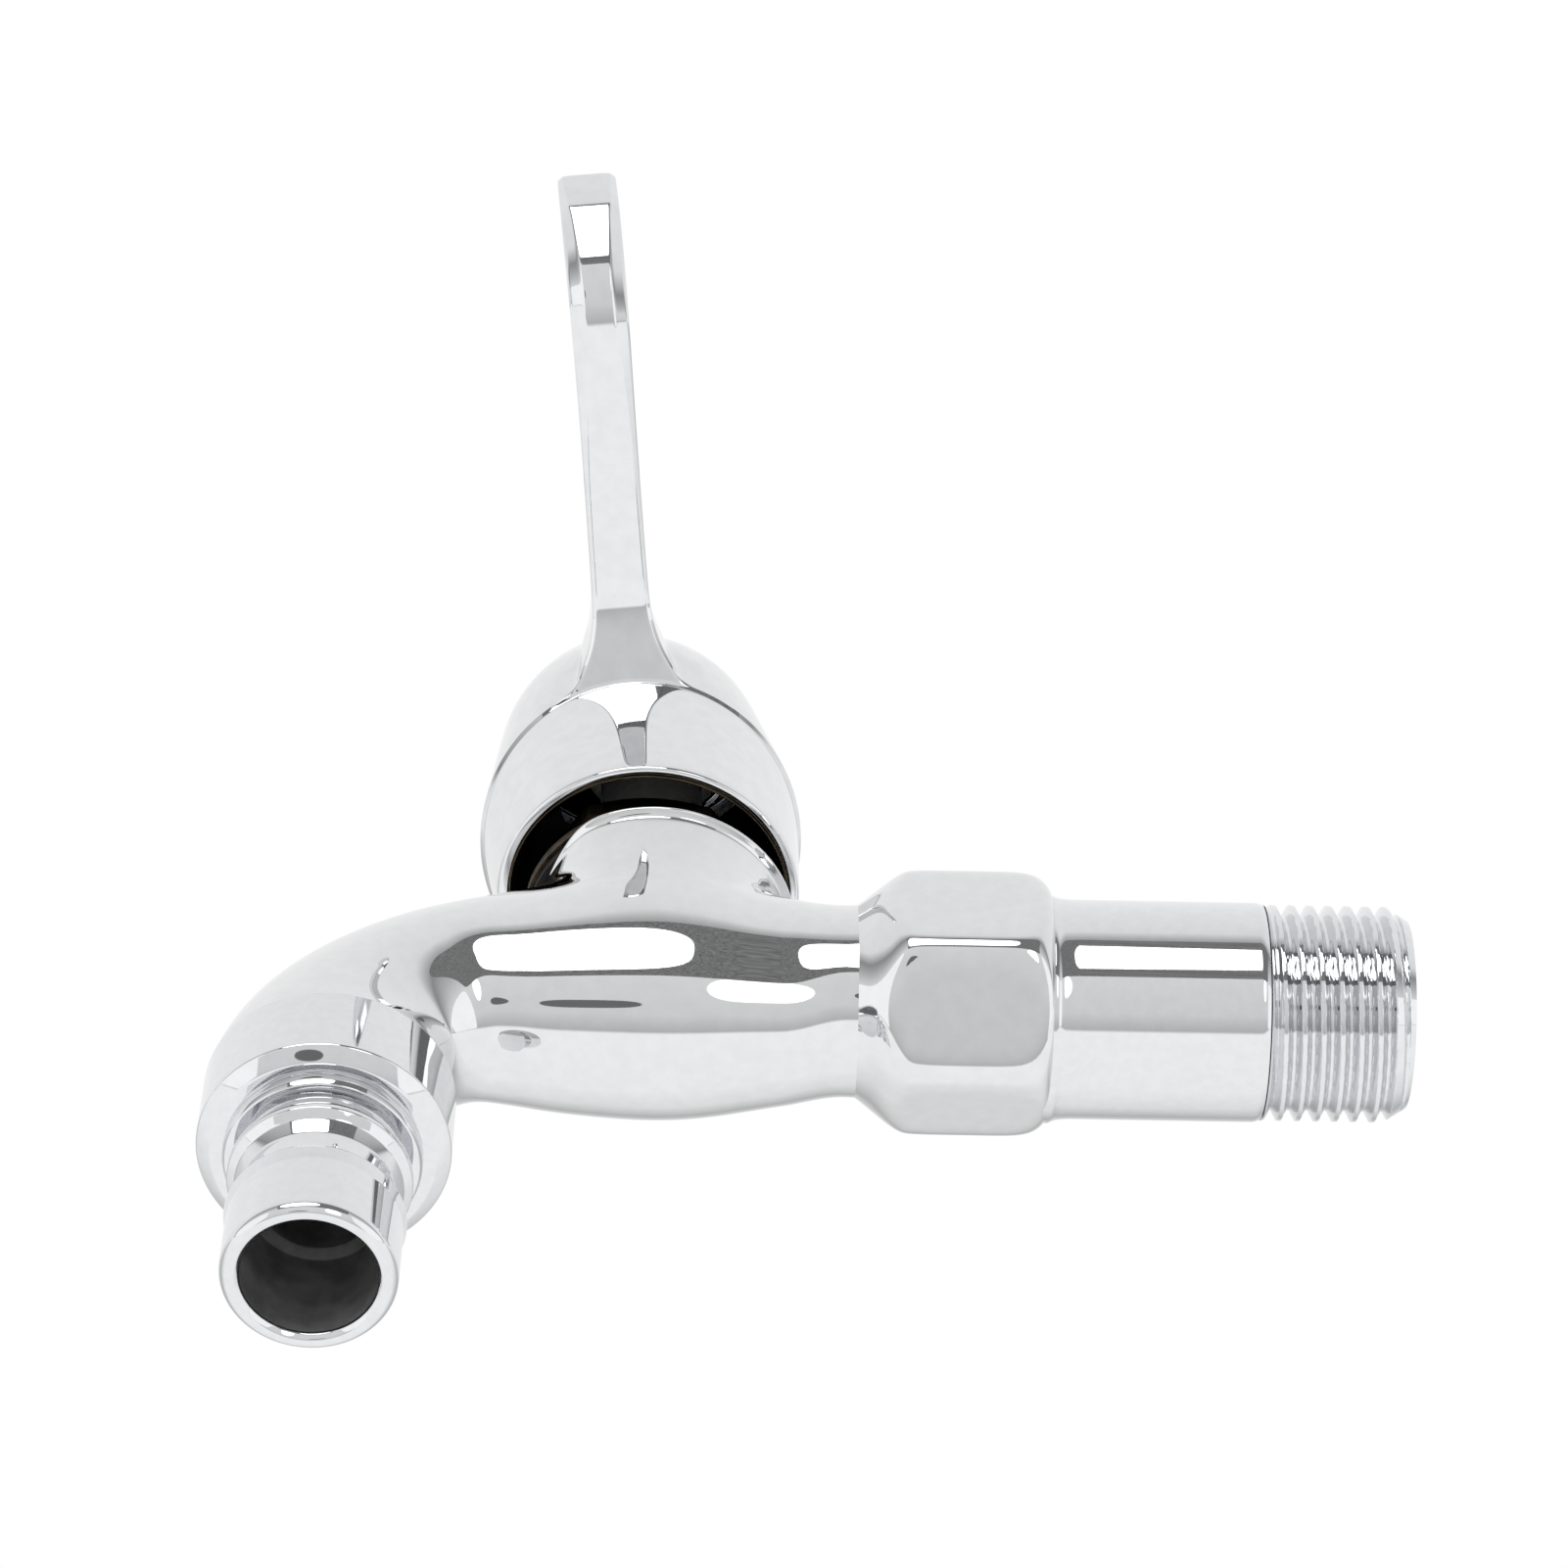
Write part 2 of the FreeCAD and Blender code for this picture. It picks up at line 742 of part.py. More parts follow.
def dome():
    """Domed upper half of the handle: ruled side that runs into a ball."""
    forward = math.radians(dome_forward)
    lean = math.radians(dome_side_lean)
    facing = V(0, -math.sin(forward), math.cos(forward))
    ball_centre = V(valve_x, 0, ridge_z) + facing * dome_reach
    rim_centre = ball_centre + facing * (dome_radius * math.sin(lean))
    rim = Part.Circle(rim_centre, facing, dome_radius * math.cos(lean)).toShape()
    side = Part.makeLoft([ridge_circle(ridge_radius), Part.Wire([rim])], True, True)
    above = Part.makeCylinder(ridge_radius, 2 * ridge_radius, rim_centre, facing)
    ball = Part.makeSphere(dome_radius, ball_centre, z_axis)
    return side.fuse(ball.common(above))


def skirt():
    """Skirt below the ridge, lofted from the level lip to the leaning ridge."""
    lip = Part.Circle(V(valve_x, 0, lip_z), z_axis, lip_radius).toShape()
    return Part.makeLoft([Part.Wire([lip]), leaned(ridge_circle(ridge_radius - skirt_inset))], True, True)


def lever_section(low, high, half_low, half_high, bevel):
    """Closed outline across the lever, bevelled along its underside and its top."""
    up = (high - low).normalize()
    straight = (high - low).Length
    right = [
        (half_low - bevel, 0),
        (half_low, bevel),
        (half_high, straight - lever_top_bevel),
        (half_high - lever_top_bevel, straight),
    ]
    left = [(-across, height) for across, height in reversed(right)]
    outline = [low + x_axis * across + up * height for across, height in right + left]
    return Part.makePolygon(outline + outline[:1])


def lever_flare(y):
    """How much the underside of the lever widens on each side at a distance along it."""
    depth = max(0.0, min(y, lever_flare_end_y) - lever_flare_y)
    return lever_flare_radius - math.sqrt(lever_flare_radius ** 2 - depth ** 2)


def point_along(curve, share):
    """Point at a share of a curve's length, with the shares drawn closer at its start."""
    distance = curve.length() * share ** lever_section_spread
    return curve.value(curve.parameterAtDistance(distance, curve.FirstParameter))


def lever():
    """Lever arm with an upturned end, lofted through sections that flare towards the dome."""
    under = spline_curve(lever_under, lever_under_runs)
    top = spline_curve(lever_top, lever_top_runs)
    sections = []
    for step in range(lever_sections):
        share = step / (lever_sections - 1)
        low = point_along(under, share)
        high = point_along(top, share)
        flare = lever_flare(low.y)
        half_low = lever_half_width + flare
        half_high = lever_half_width + lever_top_flare * flare
        bevel = lever_root_bevel + share * (lever_tip_bevel - lever_root_bevel)
        sections.append(lever_section(low, high, half_low, half_high, bevel))
    return Part.makeLoft(sections, True)


def handle_outside():
    """Outer form of the handle, with skirt, dome and lever in one and a level top."""
    upper = leaned(dome().fuse(lever()))
    top_cut = tube(dome_radius, dome_top_z, dome_top_z + dome_radius)
    return upper.fuse(skirt()).cut(top_cut)


def handle():
    """Cast handle: shell with a hub for the bush, a screw hole and the cap pocket."""
    hollow = turned([
        (0, lip_z),
        (lip_radius - lip_wall, lip_z),
        (lip_radius - lip_wall, skirt_hollow_z),
        (hollow_top_radius, hollow_top_z),
        (0, hollow_top_z),
    ])
    hub = tube(hub_radius, hub_bottom_z, hollow_top_z)
    bush_hole = tube(bush_radius + slip_gap, hub_bottom_z - past, web_z)
    screw_hole = tube(screw_clearance_radius, web_z - past, web_top_z + past)
    head_hole = tube(screw_pocket_radius, web_top_z, cap_z)
    cap_pocket = tube(cap_radius + slip_gap, cap_z, dome_top_z + past)
    cuts = [hollow.cut(hub), bush_hole, screw_hole, head_hole, cap_pocket]
    return with_handle(handle_outside().cut(cuts))


def spline_bush():
    """Plastic bush in the hub, with a toothed hole for the spindle."""
    ring = tube(bush_radius, bush_bottom_z, web_z)
    hole = spline_bar(spline_radius + slip_gap, spline_root_radius + slip_gap, bush_bottom_z, web_z)
    return with_handle(ring.cut(hole))


def handle_screw():
    """Socket screw that holds the handle down on the spindle."""
    head_z = web_top_z + washer_thickness
    head = tube(screw_head_radius, head_z, head_z + screw_head_height)
    shank = tube(screw_thread_radius - slip_gap, head_z - screw_length, head_z)
    socket_z = head_z + screw_head_height / 2
    socket = hexagon(screw_socket_flats, V(valve_x, 0, socket_z), z_axis, screw_head_height)
    return with_handle(head.fuse(shank).cut(socket))


def screw_washer():
    """Flat washer under the head of the handle screw."""
    return tube(washer_radius, web_top_z, web_top_z + washer_thickness, screw_clearance_radius)


def index_cap():
    """Plain bevelled cap over the screw, in the pocket at the top of the dome."""
    return turned([
        (0, cap_z),
        (cap_radius, cap_z),
        (cap_radius, cap_top_z - cap_bevel),
        (cap_radius - cap_bevel, cap_top_z),
        (0, cap_top_z),
    ])


def write_parts():
    """Writes one file for each separate piece."""
    pieces = {
        "tap_body": tap_body(),
        "hose_nipple": hose_nipple(),
        "nipple_gasket": nipple_gasket(),
        "headwork_body": headwork_body(),
        "headwork_gasket": headwork_gasket(),
        "seat_seal": seat_seal(),
        "seat_seal_ring": seat_seal_ring(),
        "fixed_disc": fixed_disc(),
        "moving_disc": moving_disc(),
        "spindle": spindle(),
        "spindle_seal_lower": spindle_seal(ring_seal_low_z),
        "spindle_seal_upper": spindle_seal(ring_seal_high_z),
        "slip_ring": slip_ring(),
        "stop_ring": stop_ring(),
        "spindle_clip": spindle_clip(),
        "handle": handle(),
        "spline_bush": spline_bush(),
        "handle_screw": handle_screw(),
        "screw_washer": screw_washer(),
        "index_cap": index_cap(),
    }
    os.makedirs("parts", exist_ok=True)
    for name, shape in pieces.items():
        box = shape.BoundBox
        solids = len(shape.Solids)
        print(name, "valid", shape.isValid(), "solids", solids, "volume", round(shape.Volume, 1),
              "x", round(box.XMin, 2), round(box.XMax, 2), "y", round(box.YMin, 2), round(box.YMax, 2),
              "z", round(box.ZMin, 2), round(box.ZMax, 2))
        shape.exportStep(f"parts/{name}.step")


write_parts()
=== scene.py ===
import bmesh
import bpy
import math
from mathutils import Matrix, Vector
from mathutils.kdtree import KDTree


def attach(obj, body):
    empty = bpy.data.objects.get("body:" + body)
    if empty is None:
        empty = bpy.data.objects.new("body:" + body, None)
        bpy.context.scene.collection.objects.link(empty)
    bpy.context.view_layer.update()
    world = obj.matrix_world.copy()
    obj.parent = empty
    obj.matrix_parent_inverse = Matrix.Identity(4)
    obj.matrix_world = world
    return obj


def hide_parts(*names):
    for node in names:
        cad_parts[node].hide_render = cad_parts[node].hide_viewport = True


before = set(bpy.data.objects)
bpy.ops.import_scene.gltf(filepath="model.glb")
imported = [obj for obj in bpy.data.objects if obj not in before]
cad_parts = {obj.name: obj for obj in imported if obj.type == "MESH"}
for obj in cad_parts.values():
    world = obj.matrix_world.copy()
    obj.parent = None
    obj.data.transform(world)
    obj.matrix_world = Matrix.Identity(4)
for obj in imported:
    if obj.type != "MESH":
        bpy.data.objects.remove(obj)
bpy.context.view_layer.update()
print("frame loaded")

mm = 0.001
# the upright axes in millimetres; the cast neck stands a little off the valve's
valveX = -60.0
neckX = -59.3
outletX = -89.3
# how far the barrel lies off the inlet axis, in y and z
castShift = (-0.35, 0.2)
# how far off a vertex may be and still count as on its place, and as the same as another
nearEnough = 0.01 * mm
doublesWithin = 0.001 * mm


# small helpers

def clamp(share):
    return min(1.0, max(0.0, share))


def evenAngles(count):
    return [2 * math.pi * step / count for step in range(count)]


def treeOf(spots):
    # places in millimetres, to find the one that a vertex lies on
    tree = KDTree(len(spots))
    for index, spot in enumerate(spots):
        tree.insert(Vector(spot) * mm, index)
    tree.balance()
    return tree


def liesOn(tree, part):
    # an edge or face with all its corners on the places of the tree
    return all(tree.find(vertex.co)[2] < nearEnough for vertex in part.verts)


def linear(hexColour):
    # sRGB hex to the linear values that the shaders want
    values = [int(hexColour[i:i + 2], 16) / 255 for i in (0, 2, 4)]
    return [v / 12.92 if v <= 0.04045 else ((v + 0.055) / 1.055) ** 2.4 for v in values] + [1.0]


def addNode(tree, kind, settings=None, links=None):
    # settings go on attributes or sockets, links are {input: (node, output)}
    node = tree.nodes.new(kind)
    for key, value in (settings or {}).items():
        if isinstance(key, str) and hasattr(node, key):
            setattr(node, key, value)
        else:
            node.inputs[key].default_value = value
    for key, (source, output) in (links or {}).items():
        tree.links.new(source.outputs[output], node.inputs[key])
    return node


def newMaterial(name):
    material = bpy.data.materials.new(name)
    material.use_nodes = True
    material.node_tree.nodes.clear()
    return material, material.node_tree


def deselectAll():
    if bpy.context.object and bpy.context.object.mode != "OBJECT":
        bpy.ops.object.mode_set(mode="OBJECT")
    bpy.ops.object.select_all(action="DESELECT")


def startRing(name, ring):
    # a circle is drawn and its points are laid on the first ring, given in millimetres
    deselectAll()
    bpy.ops.mesh.primitive_circle_add(vertices=len(ring), radius=1)
    piece = bpy.context.object
    piece.name = name
    for vertex, spot in zip(piece.data.vertices, ring):
        vertex.co = Vector(spot) * mm
    bpy.ops.object.mode_set(mode="EDIT")
    bpy.ops.mesh.select_all(action="SELECT")
    return piece


def extrudeTo(piece, before, after):
    # the selected ring is extruded and laid on the next one, point for point
    bpy.ops.mesh.extrude_edges_move()
    mesh = bmesh.from_edit_mesh(piece.data)
    tree = treeOf(before)
    for vertex in [v for v in mesh.verts if v.select]:
        vertex.co = Vector(after[tree.find(vertex.co)[1]]) * mm
    bmesh.update_edit_mesh(piece.data)


def loft(name, rings):
    piece = startRing(name, rings[0])
    for before, after in zip(rings, rings[1:]):
        extrudeTo(piece, before, after)
    bpy.ops.object.mode_set(mode="OBJECT")
    return piece


def selectWhere(piece, kind, test):
    # in edit mode, selects the parts of a mesh that pass a test
    bpy.ops.mesh.select_mode(type=kind)
    bpy.ops.mesh.select_all(action="DESELECT")
    mesh = bmesh.from_edit_mesh(piece.data)
    parts = {"VERT": mesh.verts, "EDGE": mesh.edges, "FACE": mesh.faces}[kind]
    for part in parts:
        if test(part):
            part.select_set(True)
    mesh.select_flush_mode()
    bmesh.update_edit_mesh(piece.data)


def bridgeOpenRings(piece):
    bpy.ops.object.mode_set(mode="EDIT")
    selectWhere(piece, "EDGE", lambda edge: edge.is_boundary)
    bpy.ops.mesh.bridge_edge_loops()
    bpy.ops.object.mode_set(mode="OBJECT")


def creaseRing(piece, ring, value, closed=True):
    # edges between neighbours of a ring get a crease
    tree = KDTree(len(piece.data.vertices))
    for vertex in piece.data.vertices:
        tree.insert(vertex.co, vertex.index)
    tree.balance()
    found = [tree.find(Vector(spot) * mm)[1] for spot in ring]
    ends = found[1:] + found[:1] if closed else found[1:]
    pairs = {frozenset(pair) for pair in zip(found, ends)}
    layer = piece.data.attributes.get("crease_edge")
    if layer is None:
        layer = piece.data.attributes.new("crease_edge", "FLOAT", "EDGE")
    for edge in piece.data.edges:
        if frozenset(edge.vertices) in pairs:
            layer.data[edge.index].value = value


def applyModifier(piece, kind, **settings):
    deselectAll()
    piece.select_set(True)
    bpy.context.view_layer.objects.active = piece
    modifier = piece.modifiers.new(kind.lower(), kind)
    for key, value in settings.items():
        setattr(modifier, key, value)
    bpy.ops.object.modifier_apply(modifier=modifier.name)


def finishShape(piece, sharpAngle, weighted=True):
    # doubles merged, normals outwards, smooth shading with crisp edges
    deselectAll()
    piece.select_set(True)
    bpy.context.view_layer.objects.active = piece
    bpy.ops.object.mode_set(mode="EDIT")
    bpy.ops.mesh.select_all(action="SELECT")
    bpy.ops.mesh.remove_doubles(threshold=doublesWithin)
    bpy.ops.mesh.normals_make_consistent(inside=False)
    bpy.ops.object.mode_set(mode="OBJECT")
    bpy.ops.object.shade_smooth_by_angle(angle=math.radians(sharpAngle))
    if weighted:
        applyModifier(piece, "WEIGHTED_NORMAL", mode="FACE_AREA", weight=100, keep_sharp=True)


# steps of a small arc, and the share of a side that it may take
arcSteps = 4
arcShare = 0.45


def roundProfile(points):
    # an outline of (radius, height, rounding) points gets small arcs at its corners
    smooth = []
    count = len(points)
    for index, (radius, height, rounding) in enumerate(points):
        here = Vector((radius, height))
        if not rounding:
            smooth.append(here)
            continue
        before = Vector(points[index - 1][:2])
        after = Vector(points[(index + 1) % count][:2])
        back = (before - here).normalized()
        ahead = (after - here).normalized()
        reach = min(rounding, (before - here).length * arcShare, (after - here).length * arcShare)
        start = here + back * reach
        end = here + ahead * reach
        for step in range(arcSteps + 1):
            share = step / arcSteps
            smooth.append(start * (1 - share) ** 2 + here * 2 * share * (1 - share) + end * share ** 2)
    return smooth


def turned(name, points, centreX, segments, onX=False):
    # a closed outline lofted round an upright axis, or round the inlet axis
    rings = []
    for spot in roundProfile(points):
        ring = []
        for angle in evenAngles(segments):
            across = spot.x * math.cos(angle)
            side = spot.x * math.sin(angle)
            ring.append((spot.y, across, side) if onX else (centreX + across, side, spot.y))
        rings.append(ring)
    piece = loft(name, rings)
    bridgeOpenRings(piece)
    finishShape(piece, 60)
    return piece


# materials

# slow casting waves in each millimetre
slowWave = 0.12
# where the noise passes from the dark tone to the light one
toneSpan = (0.35, 0.65)


def noiseShader(name, dark, light, scale, rough, bumpHeight, metallic, wave=0.0, spec=0.5):
    # one recipe: two tones in a fine noise, roughness in a range, fine bump and slow waves
    material, tree = newMaterial(name)
    where = addNode(tree, "ShaderNodeTexCoord")
    fine = addNode(tree, "ShaderNodeTexNoise", {"Scale": scale / mm, "Detail": 4.0},
                   {"Vector": (where, "Object")})
    slow = addNode(tree, "ShaderNodeTexNoise", {"Scale": slowWave / mm, "Detail": 1.0},
                   {"Vector": (where, "Object")})
    tone = addNode(tree, "ShaderNodeValToRGB", links={"Fac": (fine, "Fac")})
    tone.color_ramp.elements[0].position = toneSpan[0]
    tone.color_ramp.elements[0].color = linear(dark)
    tone.color_ramp.elements[1].position = toneSpan[1]
    tone.color_ramp.elements[1].color = linear(light)
    gloss = addNode(tree, "ShaderNodeMapRange", {"To Min": rough[0], "To Max": rough[1]},
                    {"Value": (fine, "Fac")})
    swell = addNode(tree, "ShaderNodeBump", {"Strength": wave, "Distance": 0.3 * mm}, {"Height": (slow, "Fac")})
    grain = addNode(tree, "ShaderNodeBump", {"Strength": 0.5, "Distance": bumpHeight * mm},
                    {"Height": (fine, "Fac"), "Normal": (swell, "Normal")})
    shader = addNode(tree, "ShaderNodeBsdfPrincipled", {"Metallic": metallic, "Specular IOR Level": spec},
                     {"Base Color": (tone, "Color"), "Roughness": (gloss, "Result"), "Normal": (grain, "Normal")})
    addNode(tree, "ShaderNodeOutputMaterial", links={"Surface": (shader, "BSDF")})
    return material


# bright chrome over polished cast brass: a mirror with very faint casting waves
chromeCast = noiseShader("chromePlateOnCastBrass", "dcddde", "e0e1e2", 0.7, (0.02, 0.04), 0.0006, 1.0, 0.02)
# the same plate over turned brass: crisper and without waves
chromeTurned = noiseShader("chromePlateOnTurnedBrass", "dcdddf", "e0e1e3", 1.0, (0.03, 0.05), 0.0005, 1.0)
# plate over the zinc handle, with the faintest haze
chromeHandle = noiseShader("chromePlateOnCastZinc", "dcdddf", "e1e2e3", 0.6, (0.02, 0.045), 0.0007, 1.0, 0.03)
# inside of the handle's skirt: a painted shade, dull and nearly black, with faint streaks
paintedShadeInsideSkirt = noiseShader("skirtInsidePaintedShade", "0a0a0a", "242322", 0.9, (0.3, 0.5), 0.01, 0.0, 0.2, 0.3)
# bore walls: brass gone dull and grey with use
darkBore = noiseShader("dulledBrassBore", "6c6c6c", "8a8a8a", 0.35, (0.25, 0.42), 0.01, 0.2, 0.2, 0.5)
# turned brass of the inner parts, slightly tarnished
brass = noiseShader("tarnishedTurnedBrass", "3b352b", "5f5443", 0.8, (0.3, 0.45), 0.004, 1.0)
# moulded nitrile rubber: matt black
blackRubber = noiseShader("blackRubber", "101010", "1d1d1d", 2.0, (0.6, 0.8), 0.01, 0.0)
# pressed vulcan fibre: dark and dry
fibre = noiseShader("darkVulcanFibre", "0d0b0a", "1d1916", 1.5, (0.7, 0.9), 0.02, 0.0)
# lapped alumina: white with a soft gloss
ceramic = noiseShader("whiteAluminaCeramic", "e3e0d8", "f0eee8", 1.0, (0.15, 0.25), 0.001, 0.0)
# moulded acetal: milky and half matt
whitePlastic = noiseShader("whiteAcetalPlastic", "dfdfdc", "ebebe9", 1.0, (0.35, 0.5), 0.004, 0.0)
# turned steel with thin zinc: grey satin
steel = noiseShader("zincPlatedSteel", "9c9fa3", "c3c6ca", 1.2, (0.2, 0.35), 0.003, 1.0)
# moulded cap with a metallised face: satin silver
capPlastic = noiseShader("satinMetallisedCap", "c9cacc", "dcdddf", 1.0, (0.2, 0.3), 0.002, 0.9)

nodeMaterials = {
    "tap_body": chromeCast,
    "hose_nipple": chromeTurned,
    "handle": chromeHandle,
    "headwork_body": brass,
    "spindle": brass,
    "nipple_gasket": blackRubber,
    "seat_seal": blackRubber,
    "spindle_seal_lower": blackRubber,
    "spindle_seal_upper": blackRubber,
    "headwork_gasket": fibre,
    "fixed_disc": ceramic,
    "moving_disc": ceramic,
    "spline_bush": whitePlastic,
    "slip_ring": whitePlastic,
    "seat_seal_ring": whitePlastic,
    "stop_ring": steel,
    "spindle_clip": steel,
    "handle_screw": steel,
    "screw_washer": steel,
    "index_cap": capPlastic,
}
for nodeName, material in nodeMaterials.items():
    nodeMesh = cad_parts[nodeName].data
    nodeMesh.materials.clear()
    nodeMesh.materials.append(material)
print("materials done")


def dress(piece, material, body, node):
    piece.data.materials.append(material)
    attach(piece, body)
    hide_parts(node)


def paintFaces(piece, material, test):
    # a second material on the faces whose place in mm and normal pass a test
    piece.data.materials.append(material)
    for face in piece.data.polygons:
        if test(face.center / mm, face.normal):
            face.material_index = 1


# casting: barrel, elbow and neck in one cage, smoothed by subdivision

casting = {
    # station x, radius; the ones under the neck are nearly evenly spaced
    "barrel": [(-34.5, 10.0), (-37.8, 9.5), (-41.4, 9.12), (-48.3, 10.25), (-51.9, 10.95), (-55.6, 11.45),
               (-59.3, 11.6), (-63.0, 11.45), (-66.8, 11.15), (-70.3, 10.75)],
    "around": 16,
    # a cage lies a little outside the surface that it gives
    "factor": 1.026,
    "elbowLine": [(-73.3, 0.2), (-80.3, 0.2), (-89.7, -7.35), (-89.7, -17.0)],
    "elbowRadii": (9.9, 8.76, 11.4),
    "elbowSteps": [0.18, 0.34, 0.5, 0.66, 0.82, 0.94, 1.0],
    "endDrop": 0.8,
}

# the hole in the barrel from which the neck grows
neckHole = {
    "firstStation": 3,
    "lastStation": 9,
    "points": 24,
    "halfFaces": 3,
    "reach": (15.0, 11.3),
    "lowest": 2.0,
    # faces of the barrel that make way for it
    "clearAbove": 2.5,
    "clearSpan": (-75.0, -43.3),
    "clearShare": 0.93,
}

neckShape = {
    "factor": 1.0115,
    # up the outside, over the rim and down inside: radius with what the two sides and the notch add to it,
    # height with what the sides add to it
    "levels": [
        (13.7, -1.7, -0.75, 11.0, -5.4),
        (13.1, -0.55, -0.8, 11.8, -2.5),
        (13.15, 0, -1.25, 12.5, -0.2),
        (13.3, 0, -1.45, 12.78, 0),
        (13.88, 0, -1.95, 13.08, 0),
        (14.02, 0, -2.1, 13.18, 0),
        (14.02, 0, -2.1, 13.38, 0),
        (13.9, 0, -2.1, 13.45, 0),
        (13.5, 0, -1.95, 13.45, 0),
        (10.3, 0, 0, 13.45, 0),
        (10.1, 0, 0, 13.4, 0),
        (10.1, 0, 0, 13.0, 0),
        (10.1, 0, 0, 8.0, 0),
    ],
    # the rim stands back on the spout side: half angle, the degrees in which that fades, ease
    "notch": (60, 27, 0.8),
}

# polishing left the barrel slightly oval, and flatter on one side
polish = {
    # angles in degrees, from 0 towards the lever's side, negative below
    "ovalFacing": -13.7,
    "ovalDepth": 0.5,
    "flatFacing": -29.3,
    "flatHalfAngle": 8.2,
    "flatExtraLength": 1.1,
    "orders": range(2, 15),
    "softening": 13,
    # it fades out towards the spout, the hexagon and the neck: place and length of each
    "spoutEnd": (-80, 7),
    "hexagonEnd": (-40.5, 6),
    "upperEnd": (6.0, 6),
}


def barrelRadius(x):
    stations = casting["barrel"]
    for (nearX, nearRadius), (farX, farRadius) in zip(stations, stations[1:]):
        if farX <= x <= nearX:
            share = (nearX - x) / (nearX - farX)
            return nearRadius + share * (farRadius - nearRadius)
    return stations[-1][1]


def holeRing():
    reachX, reachY = neckHole["reach"]
    factor = casting["factor"]
    ring = []
    for angle in evenAngles(neckHole["points"]):
        x = neckX + reachX * math.cos(angle)
        y = reachY * math.sin(angle)
        height = math.sqrt(max(barrelRadius(x) ** 2 - y ** 2, neckHole["lowest"] ** 2))
        ring.append((x, y * factor + castShift[0], height * factor + castShift[1]))
    return ring


def notch(angle):
    halfAngle, fade, ease = neckShape["notch"]
    away = abs(math.degrees(angle) - 180)
    return clamp((halfAngle - away) / fade) ** ease


def neckRings():
    rings = []
    for radius, sideOut, notchOut, height, sideUp in neckShape["levels"]:
        ring = []
        for angle in evenAngles(neckHole["points"]):
            side = math.sin(angle) ** 2
            reach = (radius + sideOut * side + notchOut * notch(angle)) * neckShape["factor"]
            ring.append((neckX + reach * math.cos(angle), reach * math.sin(angle), height + sideUp * side))
        rings.append(ring)
    return rings


# a step along a curve, to find its direction
smallStep = 0.001


def bezier(points, share):
    weights = [(1 - share) ** 3, 3 * share * (1 - share) ** 2, 3 * share ** 2 * (1 - share), share ** 3]
    return Vector([sum(w * p[i] for w, p in zip(weights, points)) for i in (0, 1)])


def barrelRings():
    # round the barrel, with the points of the hole in the place of those at its edge
    around = casting["around"]
    factor = casting["factor"]
    hole = holeRing()
    count = len(hole)
    half = neckHole["halfFaces"]
    first = neckHole["firstStation"]
    last = neckHole["lastStation"]
    rings = []
    for index, (x, radius) in enumerate(casting["barrel"]):
        ring = []
        for step, angle in enumerate(evenAngles(around)):
            spot = (x, castShift[0] + factor * radius * math.sin(angle),
                    castShift[1] + factor * radius * math.cos(angle))
            offset = step if step <= around // 2 else step - around
            if first <= index <= last and abs(offset) <= half:
                if index == first:
                    spot = hole[offset % count]
                elif index == last:
                    spot = hole[(count // 2 - offset) % count]
                elif offset == half:
                    spot = hole[half + index - first]
                elif offset == -half:
                    spot = hole[count - half - (index - first)]
            ring.append(spot)
        rings.append(ring)
    return rings


def elbowRings():
    # square to the curve of the spout, widening to the collar
    line = casting["elbowLine"]
    start, middle, end = casting["elbowRadii"]
    rings = []
    for share in casting["elbowSteps"]:
        centre = bezier(line, share)
        along = (bezier(line, share + smallStep) - bezier(line, share - smallStep)).normalized()
        upward = Vector((along.y, -along.x))
        radius = start * (1 - share) ** 2 + middle * 2 * share * (1 - share) + end * share ** 2
        radius *= casting["factor"]
        sideShift = castShift[0] * (1 - share)
        ring = []
        for angle in evenAngles(casting["around"]):
            reach = radius * math.cos(angle)
            ring.append((centre.x + upward.x * reach, sideShift + radius * math.sin(angle),
                         centre.y + upward.y * reach))
        rings.append(ring)
    rings.append([(x, y, z - casting["endDrop"]) for x, y, z in rings[-1]])
    return rings


def polishOffset(angle):
    # a short arc of larger radius moves the section out smoothly, and the oval draws it in and out
    away = math.radians(math.degrees(angle) - polish["flatFacing"])
    half = math.radians(polish["flatHalfAngle"])
    extra = polish["flatExtraLength"]
    total = extra / (2 * math.pi)
    for order in polish["orders"]:
        share = extra / math.pi * math.sin(order * half) / (order * half)
        share *= math.exp(-(order / polish["softening"]) ** 2)
        total += share / (1 - order * order) * math.cos(order * away)
    return total - polish["ovalDepth"] * math.cos(2 * (angle - math.radians(polish["ovalFacing"])))


def polishBarrel(piece):
    spoutX, spoutFade = polish["spoutEnd"]
    hexagonX, hexagonFade = polish["hexagonEnd"]
    upperZ, upperFade = polish["upperEnd"]
    for vertex in piece.data.vertices:
        x = vertex.co.x / mm
        y = vertex.co.y / mm - castShift[0]
        z = vertex.co.z / mm - castShift[1]
        ends = clamp((x - spoutX) / spoutFade) * clamp((hexagonX - x) / hexagonFade)
        level = clamp((upperZ - z) / upperFade)
        strength = ends * ends * (3 - 2 * ends) * level * level * (3 - 2 * level)
        if strength > 0:
            radius = math.hypot(y, z)
            grown = radius + strength * polishOffset(math.atan2(z, -y))
            vertex.co.y = (castShift[0] + y * grown / radius) * mm
            vertex.co.z = (castShift[1] + z * grown / radius) * mm


def inNeckHole(face):
    centre = face.calc_center_median() / mm
    low, high = neckHole["clearSpan"]
    if centre.z < neckHole["clearAbove"] or not low <= centre.x < high:
        return False
    reachX, reachY = neckHole["reach"]
    away = ((centre.x - neckX) / reachX) ** 2 + ((centre.y - castShift[0]) / reachY) ** 2
    return away < neckHole["clearShare"]


